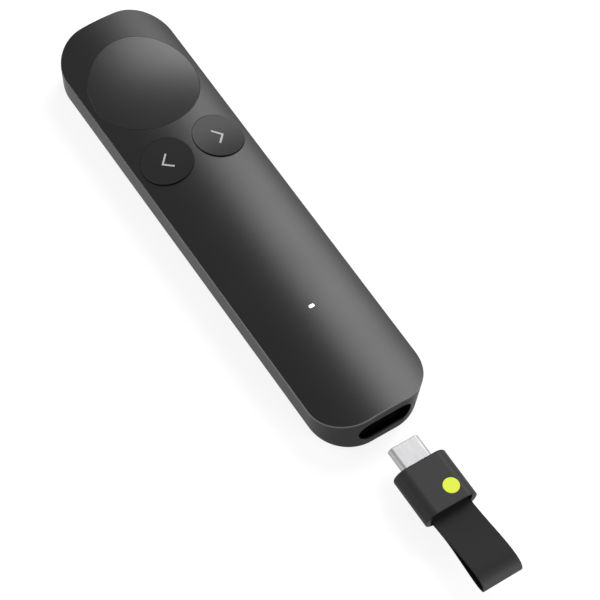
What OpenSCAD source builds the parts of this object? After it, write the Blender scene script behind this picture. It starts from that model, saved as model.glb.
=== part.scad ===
// Wireless presentation clicker with a plug-in receiver.
// Frame: origin at the middle of the flat underside, +Y towards the pointer
// pad, +X to the right, +Z up. The receiver is shown drawn out along -Y.

/* [Body] */
// Length over both ends
body_l = 125.7; // [105:0.1:151]
// Width across the side edges of the cover
body_w = 30.1; // [30.1:0.1:37]
// Thickness over the crown of the cover
body_t = 13.4; // [13:0.1:16]
// Fall of the crowned cover from its middle line to its side edges
crown_drop = 3.15; // [2.5:0.05:3.4]
// Radius of the four corners in plan
corner_r = 10.1; // [9:0.1:11]
// How far the side walls lean in from the cover's edge to the underside
side_lean = 1.5; // [1:0.1:2]
// How far the end walls lean in
end_lean = 0; // [0:0.05:0.8]
// Rounding between the walls and the underside
bottom_r = 1.3; // [1:0.1:1.6]
// Wall of the base shell
wall = 1.4; // [1.2:0.1:1.6]
// Floor of the base shell
floor_t = 1.5; // [1.2:0.1:1.8]
// Thickness of the cover
cover_t = 1.4; // [1.2:0.1:1.6]
// Height of the cover's rim, which shows above the joint with the shell
rim_t = 0.6; // [0.4:0.1:0.8]
// Clearance between the cover's locating step and the shell
lid_fit = 0.1; // [0.05:0.05:0.2]
// Fine joint between the cover's rim and the top of the shell
rim_gap = 0.03; // [0.02:0.01:0.1]

/* [Pointer pad] */
// Diameter of the round pad
pad_d = 27.2; // [22:0.2:27.4]
// From the front end to the pad's centre
pad_from_front = 21.2; // [18:0.1:23]
// Depth of the dish below the crown of the cover
pad_dish = 0.8; // [0.3:0.05:1]
// Gap round the pad
pad_gap = 0.12; // [0.1:0.01:0.3]
// Travel of the pad
pad_travel = 0.35; // [0.2:0.05:0.4]

/* [Buttons] */
// Diameter of the two buttons
button_d = 13; // [10:0.2:13.2]
// Cover left between the two buttons
button_bridge = 1.4; // [1.2:0.1:4]
// From the pad's centre to the line of the buttons
button_from_pad = 22; // [21.4:0.1:26]
// How far the buttons stand above the cover
button_proud = 0.25; // [0:0.05:0.5]
// Depth of the dish in each button
button_dish = 0.15; // [0.05:0.05:0.4]
// Gap round each button
button_gap = 0.25; // [0.15:0.05:0.4]
// Travel of the buttons
button_travel = 0.3; // [0.2:0.05:0.4]
// Stroke of the arrow marks
mark_stroke = 0.45; // [0.3:0.05:0.7]
// Height of the arrow marks
mark_h = 4.1; // [3:0.1:5]

/* [Status light] */
// Length of the light window across the body
light_l = 1.9; // [1.2:0.1:3]
// Width of the light window
light_w = 1.2; // [0.8:0.1:1.4]
// From the rear end to the light
light_from_rear = 31.4; // [29:0.1:34]

/* [Receiver] */
// Width of the receiver's housing
housing_w = 14.2; // [12.6:0.1:17]
// Thickness of the receiver's housing
housing_t = 6.2; // [5.6:0.1:6.6]
// Length of the receiver's housing
housing_l = 13.1; // [12:0.1:15]
// Clearance round the housing in its pocket
pocket_fit = 0.16; // [0.1:0.01:0.3]
// How far the plug's tip stands from the mouth as the receiver is shown
drawn_out = 6.85; // [0:0.05:20]
// Width of the plug's shell
plug_w = 8.25; // [8.25:0.01:8.34]
// Thickness of the plug's shell
plug_t = 2.4; // [2.35:0.01:2.45]
// Length of the plug outside the housing
plug_l = 6.45; // [6.2:0.05:6.65]
// Sheet thickness of the plug's shell
plug_sheet = 0.3; // [0.2:0.05:0.35]
// Width of the strap
strap_w = 10.7; // [8:0.1:11]
// Thickness of one leg of the strap
strap_t = 0.45; // [0.35:0.05:0.6]
// How far the strap's loop reaches out of the housing
strap_l = 20.1; // [16:0.1:28]
// Diameter of the pin that holds the strap
pin_d = 1.2; // [1:0.1:1.4]
// Diameter of the accent dot
dot_d = 4; // [2:0.1:4.5]

/* [Charge port] */
// Clearance between the plug and the port's shell
port_fit = 0.05; // [0.04:0.01:0.08]
// Sheet thickness of the port's shell
port_sheet = 0.3; // [0.2:0.05:0.35]
// Space left past the plug's tip when the receiver is home
port_spare = 0.15; // [0.1:0.05:0.4]
// Width of the contact tongue
tongue_w = 6.69; // [6.6:0.01:6.75]
// Thickness of the contact tongue
tongue_t = 0.7; // [0.6:0.05:0.7]
// Length of the contact tongue
tongue_l = 4.45; // [4:0.05:4.6]

/* [Inside] */
// Thickness of the main board
board_t = 0.8; // [0.6:0.1:1]
// Gap between the main board and the walls
board_gap = 0.6; // [0.4:0.1:1]
// Gap between the battery cell and the cover
cell_gap = 0.35; // [0.2:0.05:0.6]
// Width of the battery cell
cell_w = 18; // [14:0.5:18]
// Shank of the screws
screw_d = 1.6; // [1.4:0.1:1.8]
// Body of the switches under the buttons
switch_w = 4.5; // [4:0.1:4.6]
// Height of the switch bodies
switch_h = 1.7; // [1.4:0.1:1.8]

/* [Hidden] */
$fn = 96;
// Small overlap that keeps unions and cuts clean
eps = 0.05;
// Gap left under every stop
stop_gap = 0.05;

// Crown of the cover: a cylinder along Y
crown_r = (pow(body_w / 2, 2) + pow(crown_drop, 2)) / (2 * crown_drop);
edge_z = body_t - crown_drop;
function crown_z(x) = body_t - crown_r + sqrt(pow(crown_r, 2) - pow(x, 2));
function under_cover_z(x) = body_t - crown_r + sqrt(pow(crown_r - cover_t, 2) - pow(x, 2));

// Distance from the middle plane to the inner face of a side wall at height z
function wall_in(z) = body_w / 2 - wall - side_lean * (1 - z / edge_z);

rear_y = -body_l / 2;
front_y = body_l / 2;

// Moving caps
pad_y = front_y - pad_from_front;
button_y = pad_y - button_from_pad;
button_x = (button_d + button_bridge) / 2;
pad_r = pad_d / 2;
button_r = button_d / 2;

// Receiver pocket, which hangs close under the cover, and port
pocket_wall = 0.5;
pocket_headroom = 1.11;
slot_w = housing_w + 2 * pocket_fit;
slot_t = housing_t + 2 * pocket_fit;
slot_z = body_t - cover_t - pocket_headroom - pocket_wall - slot_t / 2;
mouth_y = rear_y + end_lean * (1 - slot_z / edge_z);
home_gap = 0.3;
pocket_end_y = mouth_y + housing_l + home_gap;
pocket_end_t = 0.6;
port_in_w = plug_w + 2 * port_fit;
port_in_t = plug_t + 2 * port_fit;
port_out_w = port_in_w + 2 * port_sheet;
port_out_t = port_in_t + 2 * port_sheet;
port_back = 0.6;
port_y0 = pocket_end_y;
port_y1 = port_y0 + plug_l - home_gap + port_spare + port_back + port_sheet;
tongue_root_y = port_y1 - port_sheet - port_back;

// Main board
board_top = slot_z - port_out_t / 2;
board_bottom = board_top - board_t;
board_rear_y = pocket_end_y + pocket_end_t + 0.2;
light_y = rear_y + light_from_rear;
cell_y0 = light_y + light_w / 2 + 1.9;
cell_y1 = button_y - button_r - 3.6;
cell_l = cell_y1 - cell_y0;
foam_t = 0.3;
cell_t = under_cover_z(cell_w / 2) - cell_gap - board_top - foam_t;

// Screws: [x, y] of each one, mirrored to the other side
head_d = screw_d + 1.2;
head_h = 0.9;
screw_places = [
    [port_out_w / 2 + 4.2, port_y0 + 5.2],
    [cell_w / 2 - 0.2, cell_y1 + 2.6],
    [pad_r - 4.9, pad_y + pad_r + 0.75]
];

// Snap tabs: places along Y, mirrored to the other side
tab_l = 5;
tab_t = 0.7;
hook_reach = 0.55;
hook_z = board_top + 1.2;
tab_x = wall_in(hook_z - 1.1) - 0.15 - tab_t;
tab_places = [rear_y + 10.5, (cell_y0 + cell_y1) / 2, button_y + button_r + 3.9];

// Caps: bottom faces, lugs and the collars that hold them
cap_bottom = edge_z - 1.35;
lug_h = 0.7;
collar_bottom = cap_bottom + lug_h + stop_gap;
lug_out = 1.1;
lug_w = 3;
pad_lug_w = 4;

// Switches
plunger_up = 0.7;
plunger_in = 0.8;

// Receiver: places along Y when drawn out
tip_y = mouth_y - drawn_out;
housing_y1 = tip_y - plug_l;
housing_y0 = housing_y1 - housing_l;
strap_play = 0.05;
pin_in = 2.6;
pin_y = housing_y0 + pin_in;
pin_z = slot_z - 1.1;
pin_loop_r = pin_d / 2 + strap_play;

// ---------------------------------------------------------------- helpers

// Flat rectangle with round corners, centred
module round_rect(w, l, r) {
    square([w - 2 * r, l], center = true);
    square([w, l - 2 * r], center = true);
    for (sx = [-1, 1], sy = [-1, 1])
        translate([sx * (w / 2 - r), sy * (l / 2 - r)]) circle(r);
}

// Flat slot shape with full round ends, centred
module stadium(w, t) {
    square([w - t, t], center = true);
    for (s = [-1, 1]) translate([s * (w - t) / 2, 0]) circle(t / 2);
}

// Bar of slot section along Y, from y0 to y1, on the receiver's axis
module slot_bar(w, t, y0, y1) {
    translate([0, y1, slot_z]) rotate([90, 0, 0]) linear_extrude(y1 - y0) stadium(w, t);
}

// Slot section that narrows by c on every side over the length c, from y0 to y0 + c
module slot_taper(w, t, c, y0) {
    translate([0, y0, slot_z]) {
        for (s = [-1, 1]) translate([s * (w - t) / 2, 0, 0]) rotate([-90, 0, 0])
            cylinder(r1 = t / 2, r2 = t / 2 - c, h = c);
        rotate([90, 0, 90]) translate([0, 0, -(w - t) / 2]) linear_extrude(w - t)
            polygon([[0, -t / 2], [c, c - t / 2], [c, t / 2 - c], [0, t / 2]]);
    }
}

// Solid under a crown that lies d below the cover's own surface
module under_crown(d) {
    translate([0, -body_l, body_t - crown_r]) rotate([-90, 0, 0])
        cylinder(r = crown_r - d, h = 2 * body_l, $fn = 360);
}

// Solid under a dish whose round rim of radius r follows the crown: it bends
// down across the body and up along it. The middle is at x = cx, y = cy
module under_dish(r, depth, proud, cx, cy) {
    bend_x = 1 / (1 / crown_r - 2 * depth / pow(r, 2));
    bend_y = pow(r, 2) / (2 * depth);
    turn = asin(cx / crown_r);
    translate([0, cy, body_t - crown_r]) rotate([0, turn, 0])
        translate([0, 0, crown_r + proud - depth - bend_x]) rotate([-90, 0, 0])
            rotate_extrude($fn = 360) difference() {
                translate([0, -2 * r]) square([bend_x + 3 * depth, 4 * r]);
                translate([bend_x + bend_y, 0]) circle(bend_y, $fn = 720);
            }
}

// Outline of the cover in plan
module body_plan(inset = 0, r = corner_r) {
    round_rect(body_w - 2 * inset, body_l - 2 * inset, r);
}

// ------------------------------------------------------------- base shell

// One level of the shell's outside: [height, inset of sides, inset of ends]
function shell_level(z) =
    let (up = z / edge_z,
         dip = z < bottom_r ? bottom_r - sqrt(pow(bottom_r, 2) - pow(bottom_r - z, 2)) : 0)
    [z, side_lean * (1 - up) + dip, end_lean * (1 - up) + dip];

// Points of one level: the four corners as arcs, counter-clockwise
corner_steps = 14;
function level_ring(level) =
    let (r = corner_r - (level[1] + level[2]) / 2,
         hx = body_w / 2 - level[1] - r,
         hy = body_l / 2 - level[2] - r)
    [for (c = [0:3], i = [0:corner_steps])
        let (a = 90 * c + 90 * i / corner_steps,
             sx = (c == 0 || c == 3) ? 1 : -1, sy = c < 2 ? 1 : -1)
        [sx * hx + r * cos(a), sy * hy + r * sin(a), level[0]]];

// Outside of the shell: a loft through levels from the underside to above the crown
module shell_outside() {
    fillet_zs = [for (a = [0, 20, 40, 60, 90]) bottom_r * (1 - cos(a))];
    zs = concat(fillet_zs, [edge_z, body_t + 1]);
    levels = [for (z = zs) z > edge_z ? [z, 0, 0] : shell_level(z)];
    n = 4 * (corner_steps + 1);
    points = [for (level = levels) each level_ring(level)];
    walls = [for (k = [0:len(levels) - 2], i = [0:n - 1])
        let (a = k * n + i, b = k * n + (i + 1) % n) each [[a, a + n, b], [b, a + n, b + n]]];
    bottom = [for (i = [0:n - 1]) i];
    top = [for (i = [n - 1:-1:0]) (len(levels) - 1) * n + i];
    polyhedron(points = points, faces = concat([bottom], walls, [top]), convexity = 4);
}

// Inside of the shell above its floor, leaning with the side walls, and the
// same space drawn in by a fit
cavity_corner_r = corner_r + 0.3;
module cavity(fit = 0) {
    low = wall_in(floor_t) - fit;
    high = body_w / 2 - wall - fit;
    intersection() {
        translate([0, 0, floor_t]) linear_extrude(body_t)
            body_plan(wall + fit, cavity_corner_r - fit);
        translate([0, body_l, 0]) rotate([90, 0, 0]) linear_extrude(2 * body_l)
            polygon([[-low, floor_t], [low, floor_t], [high, edge_z], [high, 2 * body_t],
                [-high, 2 * body_t], [-high, edge_z]]);
    }
}

module at_screws() {
    for (p = screw_places, s = [-1, 1]) translate([s * p[0], p[1], 0]) children();
}

module at_tabs() {
    for (y = tab_places, s = [0, 1]) mirror([s, 0, 0]) translate([tab_x, y, 0]) children();
}

// Cradle rib under the receiver pocket
module pocket_rib(y) {
    difference() {
        translate([-slot_w / 2 - 2, y, floor_t - eps]) cube([slot_w + 4, 1.2, slot_z - floor_t]);
        slot_bar(slot_w + 2 * pocket_wall, slot_t + 2 * pocket_wall, y - 1, y + 3);
    }
}

module base_shell() {
    boss_h = board_bottom - floor_t + eps;
    motor_y = (button_y + pad_y) / 2;
    color([0.17, 0.17, 0.18]) difference() {
        union() {
            difference() {
                intersection() {
                    shell_outside();
                    under_crown(rim_t + rim_gap);
                }
                cavity();
            }
            at_screws() translate([0, 0, floor_t - eps]) cylinder(d = screw_d + 2, h = boss_h);
            // Posts that stop the board from bending under the three switches
            for (p = [[button_x, button_y], [-button_x, button_y], [0, pad_y]])
                translate([p[0], p[1], floor_t - eps]) cylinder(d = 2.4, h = boss_h);
            pocket_rib(rear_y + 4.5);
            pocket_rib(pocket_end_y - 3.5);
            // Ring that holds the vibration motor
            translate([0, motor_y, floor_t - eps]) difference() {
                cylinder(d = motor_d + 1.8, h = 1.6);
                translate([0, 0, -1]) cylinder(d = motor_d + 0.1, h = 4);
            }
        }
        // Mouth of the receiver slot, with a bevelled edge
        slot_bar(slot_w, slot_t, rear_y - 1, rear_y + wall + 2);
        slot_taper(slot_w + 0.8, slot_t + 0.8, 0.4, mouth_y - 0.1);
        // Seat of the pocket's liner in the wall's round corners
        slot_bar(slot_w + 2 * pocket_wall + 0.1, slot_t + 2 * pocket_wall + 0.1,
            rear_y + wall + 0.02, pocket_end_y);
        at_screws() translate([0, 0, floor_t + 0.3]) cylinder(d = screw_d + 0.04, h = body_t);
        // Recesses that the cover's hooks snap into
        at_tabs() translate([tab_t, -tab_l / 2 - 0.2, hook_z - 0.1])
            cube([hook_reach + 0.35, tab_l + 0.4, 1.4]);
        // Relief beside the pad and the two buttons
        translate([0, pad_y, cap_bottom - pad_travel - 0.4]) cylinder(r = pad_r + 0.3, h = body_t);
        for (s = [-1, 1]) translate([s * button_x, button_y, cap_bottom - button_travel - 0.4])
            cylinder(r = button_r + 0.3, h = body_t);
    }
}

// -------------------------------------------------------------- top cover

// Collar under the cover that the lugs of a cap come up against
module collar(x, y, r, w) {
    translate([x, y, collar_bottom]) intersection() {
        difference() {
            cylinder(r = r + lug_out + 0.5, h = body_t);
            translate([0, 0, -1]) cylinder(r = r, h = 2 * body_t);
        }
        translate([-w / 2, -2 * r, 0]) cube([w, 4 * r, body_t]);
    }
}

// Snap tab with its hook facing outwards
module snap_tab() {
    translate([0, -tab_l / 2, hook_z]) rotate([-90, 0, 0]) linear_extrude(tab_l)
        polygon([[0, 0], [tab_t, 0], [tab_t + hook_reach, -0.5], [tab_t + hook_reach, -1.1],
            [tab_t, -1.1], [tab_t, -body_t], [0, -body_t]]);
}

module top_cover() {
    color([0.2, 0.2, 0.21]) difference() {
        intersection() {
            union() {
                difference() {
                    translate([0, 0, edge_z - 3]) linear_extrude(body_t) body_plan();
                    under_crown(rim_t);
                }
                // Step inside the shell's wall
                difference() {
                    cavity(lid_fit);
                    under_crown(cover_t);
                }
                at_tabs() snap_tab();
                collar(0, pad_y, pad_r + pad_gap, 6);
                for (s = [-1, 1]) collar(s * button_x, button_y, button_r + button_gap, 5);
                // Guide round the light pipe
                translate([0, light_y, under_cover_z(0) - 1])
                    linear_extrude(1.5) stadium(light_l + 2, light_w + 2);
            }
            under_crown(0);
        }
        translate([0, pad_y, 0]) cylinder(r = pad_r + pad_gap, h = 2 * body_t);
        for (s = [-1, 1]) translate([s * button_x, button_y, 0])
            cylinder(r = button_r + button_gap, h = 2 * body_t);
        translate([0, light_y, 0]) linear_extrude(2 * body_t)
            stadium(light_l + 0.06, light_w + 0.06);
    }
}

// ------------------------------------------------- receiver pocket and port

module receiver_pocket() {
    y0 = rear_y + wall + 0.05;
    color([0.08, 0.08, 0.085]) difference() {
        slot_bar(slot_w + 2 * pocket_wall, slot_t + 2 * pocket_wall, y0,
            pocket_end_y + pocket_end_t);
        slot_bar(slot_w, slot_t, y0 - 1, pocket_end_y);
        slot_bar(port_out_w + 0.1, port_out_t + 0.1, y0, pocket_end_y + 5);
    }
}

module charge_port_shell() {
    color([0.78, 0.78, 0.8]) {
        difference() {
            slot_bar(port_out_w, port_out_t, port_y0, port_y1);
            slot_bar(port_in_w, port_in_t, port_y0 - 1, port_y1 - port_sheet);
        }
        // Solder feet, which stand beside the shell and rest on the board
        for (s = [-1, 1]) for (y = [board_rear_y + 1, port_y1 - 1.8])
            translate([s * (port_out_w / 2 + 0.35), y, board_top]) {
                translate([-0.5, 0, 0]) cube([1, 1, port_sheet]);
                translate([s < 0 ? 0.15 : -0.5, 0, 0]) cube([0.35, 1, port_out_t / 2]);
            }
    }
}

module charge_port_tongue() {
    color([0.1, 0.1, 0.1]) {
        translate([-tongue_w / 2, tongue_root_y - tongue_l, slot_z - tongue_t / 2])
            cube([tongue_w, tongue_l + eps, tongue_t]);
        slot_bar(port_in_w - 0.02, port_in_t - 0.02, tongue_root_y, port_y1 - port_sheet);
    }
}

// Rows of contact strips along Y on both faces of a plate at distance dz
module contact_rows(y0, l, dz, t) {
    pitch = 0.5;
    for (i = [0:11], s = [-1, 1])
        translate([(i - 5.5) * pitch - 0.13, y0, slot_z + s * (dz + t / 2) - t / 2])
            cube([0.26, l, t]);
}

module charge_port_contacts() {
    color([0.83, 0.66, 0.3])
        contact_rows(tongue_root_y - tongue_l + 0.4, tongue_l - 0.5, tongue_t / 2, 0.05);
}

// ----------------------------------------------------- board and its parts

module main_board() {
    hw = wall_in(board_bottom) - board_gap;
    color([0.07, 0.24, 0.14]) difference() {
        translate([0, 0, board_bottom]) linear_extrude(board_t) intersection() {
            body_plan(wall + board_gap, cavity_corner_r - board_gap);
            translate([-hw, board_rear_y]) square([2 * hw, body_l]);
        }
        at_screws() cylinder(d = screw_d + 0.2, h = body_t);
    }
}

module board_screws() {
    color([0.7, 0.7, 0.72]) at_screws() difference() {
        union() {
            translate([0, 0, board_top]) cylinder(d = head_d, h = head_h);
            translate([0, 0, floor_t + 0.5]) cylinder(d = screw_d, h = board_top - floor_t);
        }
        // Cross recess
        for (a = [0, 90]) rotate([0, 0, a]) translate([-0.75, -0.14, board_top + 0.4])
            cube([1.5, 0.28, 1]);
    }
}

radio_w = 9;
radio_l = 6.6;
radio_h = 1.6;
module radio_module() {
    y0 = (button_y + pad_y) / 2 - radio_l / 2;
    color([0.72, 0.73, 0.74]) translate([-radio_w / 2, y0, board_top]) difference() {
        cube([radio_w, radio_l, radio_h]);
        translate([0.2, 0.2, -1]) cube([radio_w - 0.4, radio_l - 0.4, radio_h + 0.8]);
        // Vent holes of the shield
        for (i = [-1:1], j = [-1:1]) translate([radio_w / 2 + 2 * i, radio_l / 2 + 1.6 * j, 0])
            cylinder(d = 0.6, h = 4);
    }
}

module chip(x, y, w, l, h) {
    translate([x - w / 2, y - l / 2, board_top]) cube([w, l, h]);
}

module motion_sensor() {
    color([0.1, 0.1, 0.1]) chip(6.2, pad_y - 1, 3, 3, 0.9);
}

module charger_chip() {
    color([0.1, 0.1, 0.1]) chip(6, (port_y1 + light_y) / 2 - 0.5, 3.5, 3.5, 0.8);
}

motor_d = 8;
motor_h = 2.4;
module haptic_motor() {
    color([0.75, 0.75, 0.77]) translate([0, (button_y + pad_y) / 2, floor_t])
        cylinder(d = motor_d, h = motor_h);
}

module battery_cell() {
    color([0.62, 0.64, 0.67]) translate([0, (cell_y0 + cell_y1) / 2, board_top + foam_t])
        linear_extrude(cell_t) round_rect(cell_w, cell_l, 1.2);
}

module battery_foam() {
    color([0.15, 0.15, 0.15]) translate([0, (cell_y0 + cell_y1) / 2, board_top])
        linear_extrude(foam_t) round_rect(cell_w - 2, cell_l - 2, 0.8);
}

lead_d = 0.8;
lead_x = 6;
lead_pitch = 1.6;
lead_y = cell_y0 - 2.6;
socket_w = 4;
socket_l = 2.6;
socket_h = 1.7;
module battery_plug() {
    color([0.9, 0.88, 0.8]) difference() {
        translate([-lead_x - socket_w / 2, lead_y - socket_l, board_top])
            cube([socket_w, socket_l, socket_h]);
        for (s = [-1, 1])
            translate([s * lead_pitch / 2 - lead_x, lead_y - 1.5, board_top + socket_h / 2])
                rotate([-90, 0, 0]) cylinder(d = lead_d + 0.04, h = 3);
    }
}

// Two short leads from the cell to its plug, each one bend in each direction
module battery_leads() {
    rise = 1.2;
    z0 = board_top + socket_h / 2;
    for (s = [-1, 1]) color(s < 0 ? [0.7, 0.08, 0.06] : [0.05, 0.05, 0.05])
        translate([s * lead_pitch / 2 - lead_x, 0, 0]) {
            translate([0, lead_y - 1.5, z0]) rotate([-90, 0, 0])
                cylinder(d = lead_d, h = 1.7);
            // Bend up, then back level into the cell's end
            translate([0, lead_y + 0.2, z0 + rise / 2]) rotate([90, 0, 90]) rotate([0, 0, -90])
                rotate_extrude(angle = 90) translate([rise / 2, 0]) circle(d = lead_d);
            translate([0, lead_y + 0.2 + rise, z0 + rise / 2]) rotate([90, 0, 90])
                rotate([0, 0, 90]) rotate_extrude(angle = 90)
                    translate([rise / 2, 0]) circle(d = lead_d);
            translate([0, lead_y + 0.2 + rise, z0 + rise]) rotate([-90, 0, 0])
                cylinder(d = lead_d, h = cell_y0 - lead_y - 0.2 - rise);
        }
}

led_h = 0.7;
module status_led() {
    color([0.95, 0.95, 0.9]) chip(0, light_y, 1.6, 0.8, led_h);
}

module status_lens() {
    z0 = board_top + led_h + 0.15;
    color([1, 1, 1]) intersection() {
        union() {
            translate([0, light_y, z0]) linear_extrude(body_t) stadium(light_l, light_w);
            // Flange under the guide
            translate([0, light_y, under_cover_z(0) - 1.75])
                linear_extrude(0.7) stadium(light_l + 1.4, light_w + 1.4);
        }
        under_crown(0);
    }
}

// ------------------------------------------------------------- switches

module switch_body(x, y, w, d) {
    color([0.12, 0.12, 0.13]) translate([x, y, board_top]) difference() {
        union() {
            translate([-w / 2, -w / 2, 0]) cube([w, w, switch_h - 0.2]);
            cylinder(d = w * 0.8, h = switch_h);
        }
        translate([0, 0, switch_h - plunger_in - pad_travel - 2 * stop_gap])
            cylinder(d = d + 0.1, h = switch_h);
    }
}

module plunger(x, y, d) {
    color([0.85, 0.85, 0.82]) translate([x, y, board_top + switch_h - plunger_in])
        cylinder(d = d, h = plunger_in + plunger_up);
}

button_plunger_d = 2;
pad_plunger_d = 3;
pad_switch_w = 6;
module pad_switch() { switch_body(0, pad_y, pad_switch_w, pad_plunger_d); }
module next_switch() { switch_body(button_x, button_y, switch_w, button_plunger_d); }
module back_switch() { switch_body(-button_x, button_y, switch_w, button_plunger_d); }
module pad_plunger() { plunger(0, pad_y, pad_plunger_d); }
module next_plunger() { plunger(button_x, button_y, button_plunger_d); }
module back_plunger() { plunger(-button_x, button_y, button_plunger_d); }

// ----------------------------------------------------------- moving caps

// Hollow cap with a dished top, a stem on the switch and two lugs under the cover
module cap(x, y, r, dish, proud, lug, stem_d, skin) {
    stem_z = board_top + switch_h + plunger_up;
    intersection() {
        union() {
            translate([x, y, cap_bottom]) {
                difference() {
                    cylinder(r = r, h = body_t);
                    translate([0, 0, -1])
                        cylinder(r = r - 1, h = 1 + crown_z(abs(x) + r) - skin - cap_bottom);
                }
                intersection() {
                    cylinder(r = r + lug_out, h = lug_h);
                    translate([-lug / 2, -2 * r, 0]) cube([lug, 4 * r, lug_h]);
                    difference() {
                        cylinder(r = 2 * r, h = lug_h);
                        translate([0, 0, -1]) cylinder(r = r - 0.5, h = 3);
                    }
                }
            }
            translate([x, y, stem_z]) cylinder(d = stem_d, h = body_t - stem_z);
            // Ribs from the stem to the skirt
            for (a = [45:90:315]) translate([x, y, cap_bottom + 0.5]) rotate([0, 0, a])
                translate([0, -0.3, 0]) cube([r - 0.5, 0.6, 1.6]);
        }
        under_dish(r, dish, proud, x, y);
    }
}

// Arrow of two strokes at right angles, pointing to +X, centred
module chevron() {
    tip_x = 0.31 * mark_h;
    d = mark_stroke / sqrt(8);
    end_x = tip_x - mark_h / 2;
    polygon([[tip_x + 2 * d, 0], [end_x + d, mark_h / 2 + d], [end_x - d, mark_h / 2 - d],
        [tip_x - 2 * d, 0], [end_x - d, d - mark_h / 2], [end_x + d, -d - mark_h / 2]]);
}

mark_depth = 0.5;
module chevron_cut(side) {
    z = crown_z(button_x) + button_proud - button_dish - mark_depth;
    translate([side * button_x, button_y, z]) mirror([side < 0 ? 1 : 0, 0, 0])
        linear_extrude(2) chevron();
}

module button_cap(side) {
    color([0.15, 0.15, 0.16]) difference() {
        cap(side * button_x, button_y, button_r, button_dish, button_proud, lug_w, 2.4, 0.9);
        chevron_cut(side);
    }
}

module button_mark(side) {
    color([0.8, 0.8, 0.8]) intersection() {
        chevron_cut(side);
        under_dish(button_r, button_dish, button_proud, side * button_x, button_y);
    }
}

module pointer_pad() {
    color([0.22, 0.22, 0.23]) cap(0, pad_y, pad_r, pad_dish, 0, pad_lug_w, 3.4, 0.9);
}
module next_button() { button_cap(1); }
module next_mark() { button_mark(1); }
module back_button() { button_cap(-1); }
module back_mark() { button_mark(-1); }

// -------------------------------------------------------------- receiver

edge_c = 0.4;
housing_skin = 1;
root_h = 2 * (pin_loop_r + strap_t) + 0.3;
mouth_wall = 0.35;
module housing_outside() {
    slot_bar(housing_w, housing_t, housing_y0 + edge_c, housing_y1 - edge_c);
    slot_taper(housing_w, housing_t, edge_c, housing_y1 - edge_c);
    translate([0, 2 * (housing_y0 + edge_c), 0]) mirror([0, 1, 0])
        slot_taper(housing_w, housing_t, edge_c, housing_y0 + edge_c);
}

tail_y = pin_y + pin_loop_r + strap_t + 0.3;
dot_x = 2.35;
dot_y = housing_y0 + 4.1;
dot_depth = 0.25;
module receiver_housing() {
    color([0.24, 0.24, 0.25]) difference() {
        housing_outside();
        // Room for the receiver's board
        translate([-housing_w / 2 + 1.6, tail_y + 0.8, slot_z - housing_t / 2 + housing_skin])
            cube([housing_w - 3.2, housing_y1 - tail_y - 1.8, housing_t - 2 * housing_skin]);
        // Way through for the plug
        slot_bar(plug_w + 0.02, plug_t + 0.02, housing_y1 - 3, housing_y1 + 1);
        // Thin-walled mouth for the strap, and the narrower room round its pin
        intersection() {
            slot_bar(housing_w - 2 * mouth_wall, housing_t - 2 * mouth_wall, housing_y0 - 1,
                housing_y0 + 1.6);
            translate([-strap_w / 2 - 0.2, housing_y0 - 1, 0]) cube([strap_w + 0.4, 3, body_t]);
        }
        translate([-strap_w / 2 - 0.2, housing_y0 - 1, pin_z - root_h / 2])
            cube([strap_w + 0.4, tail_y - housing_y0 + 1, root_h]);
        translate([-strap_w / 2 - 1, pin_y, pin_z]) rotate([0, 90, 0])
            cylinder(d = pin_d + 0.02, h = strap_w + 2);
        translate([dot_x, dot_y, slot_z + housing_t / 2 - dot_depth]) cylinder(d = dot_d, h = 2);
    }
}

module receiver_dot() {
    color([0.82, 0.86, 0.2]) translate([dot_x, dot_y, slot_z + housing_t / 2 - dot_depth])
        cylinder(d = dot_d - 0.02, h = dot_depth);
}

plug_root_y = housing_y1 - 2.4;
module plug_shell() {
    color([0.85, 0.85, 0.86]) difference() {
        union() {
            slot_bar(plug_w, plug_t, plug_root_y, tip_y - 0.25);
            slot_taper(plug_w, plug_t, 0.25, tip_y - 0.25);
        }
        slot_bar(plug_w - 2 * plug_sheet, plug_t - 2 * plug_sheet, plug_root_y - 1, tip_y + 1);
    }
}

slot_depth = tongue_l + 0.5;
mouth_h = tongue_t + 0.4;
module plug_insulator() {
    color([0.12, 0.12, 0.12]) difference() {
        slot_bar(plug_w - 2 * plug_sheet - 0.02, plug_t - 2 * plug_sheet - 0.02, plug_root_y,
            tip_y - 0.4);
        translate([-tongue_w / 2 - 0.12, tip_y - slot_depth - 1, slot_z - mouth_h / 2])
            cube([tongue_w + 0.24, slot_depth + 3, mouth_h]);
    }
}

module plug_contacts() {
    t = 0.08;
    color([0.83, 0.66, 0.3])
        contact_rows(tip_y - slot_depth - 0.8, slot_depth - 0.2, mouth_h / 2 - t, t);
}

receiver_board_t = 0.8;
module receiver_board() {
    y0 = tail_y + 1;
    color([0.07, 0.24, 0.14])
        translate([2 - housing_w / 2, y0, slot_z - receiver_board_t / 2])
            cube([housing_w - 4, plug_root_y - 0.1 - y0, receiver_board_t]);
}

module receiver_chip() {
    color([0.1, 0.1, 0.1]) translate([-1.6, tail_y + 1.6, slot_z + receiver_board_t / 2])
        cube([3.2, 3, 0.8]);
}

module strap_pin() {
    color([0.75, 0.75, 0.77]) translate([-strap_w / 2 - 1, pin_y, pin_z]) rotate([0, 90, 0])
        cylinder(d = pin_d, h = strap_w + 2);
}

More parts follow.
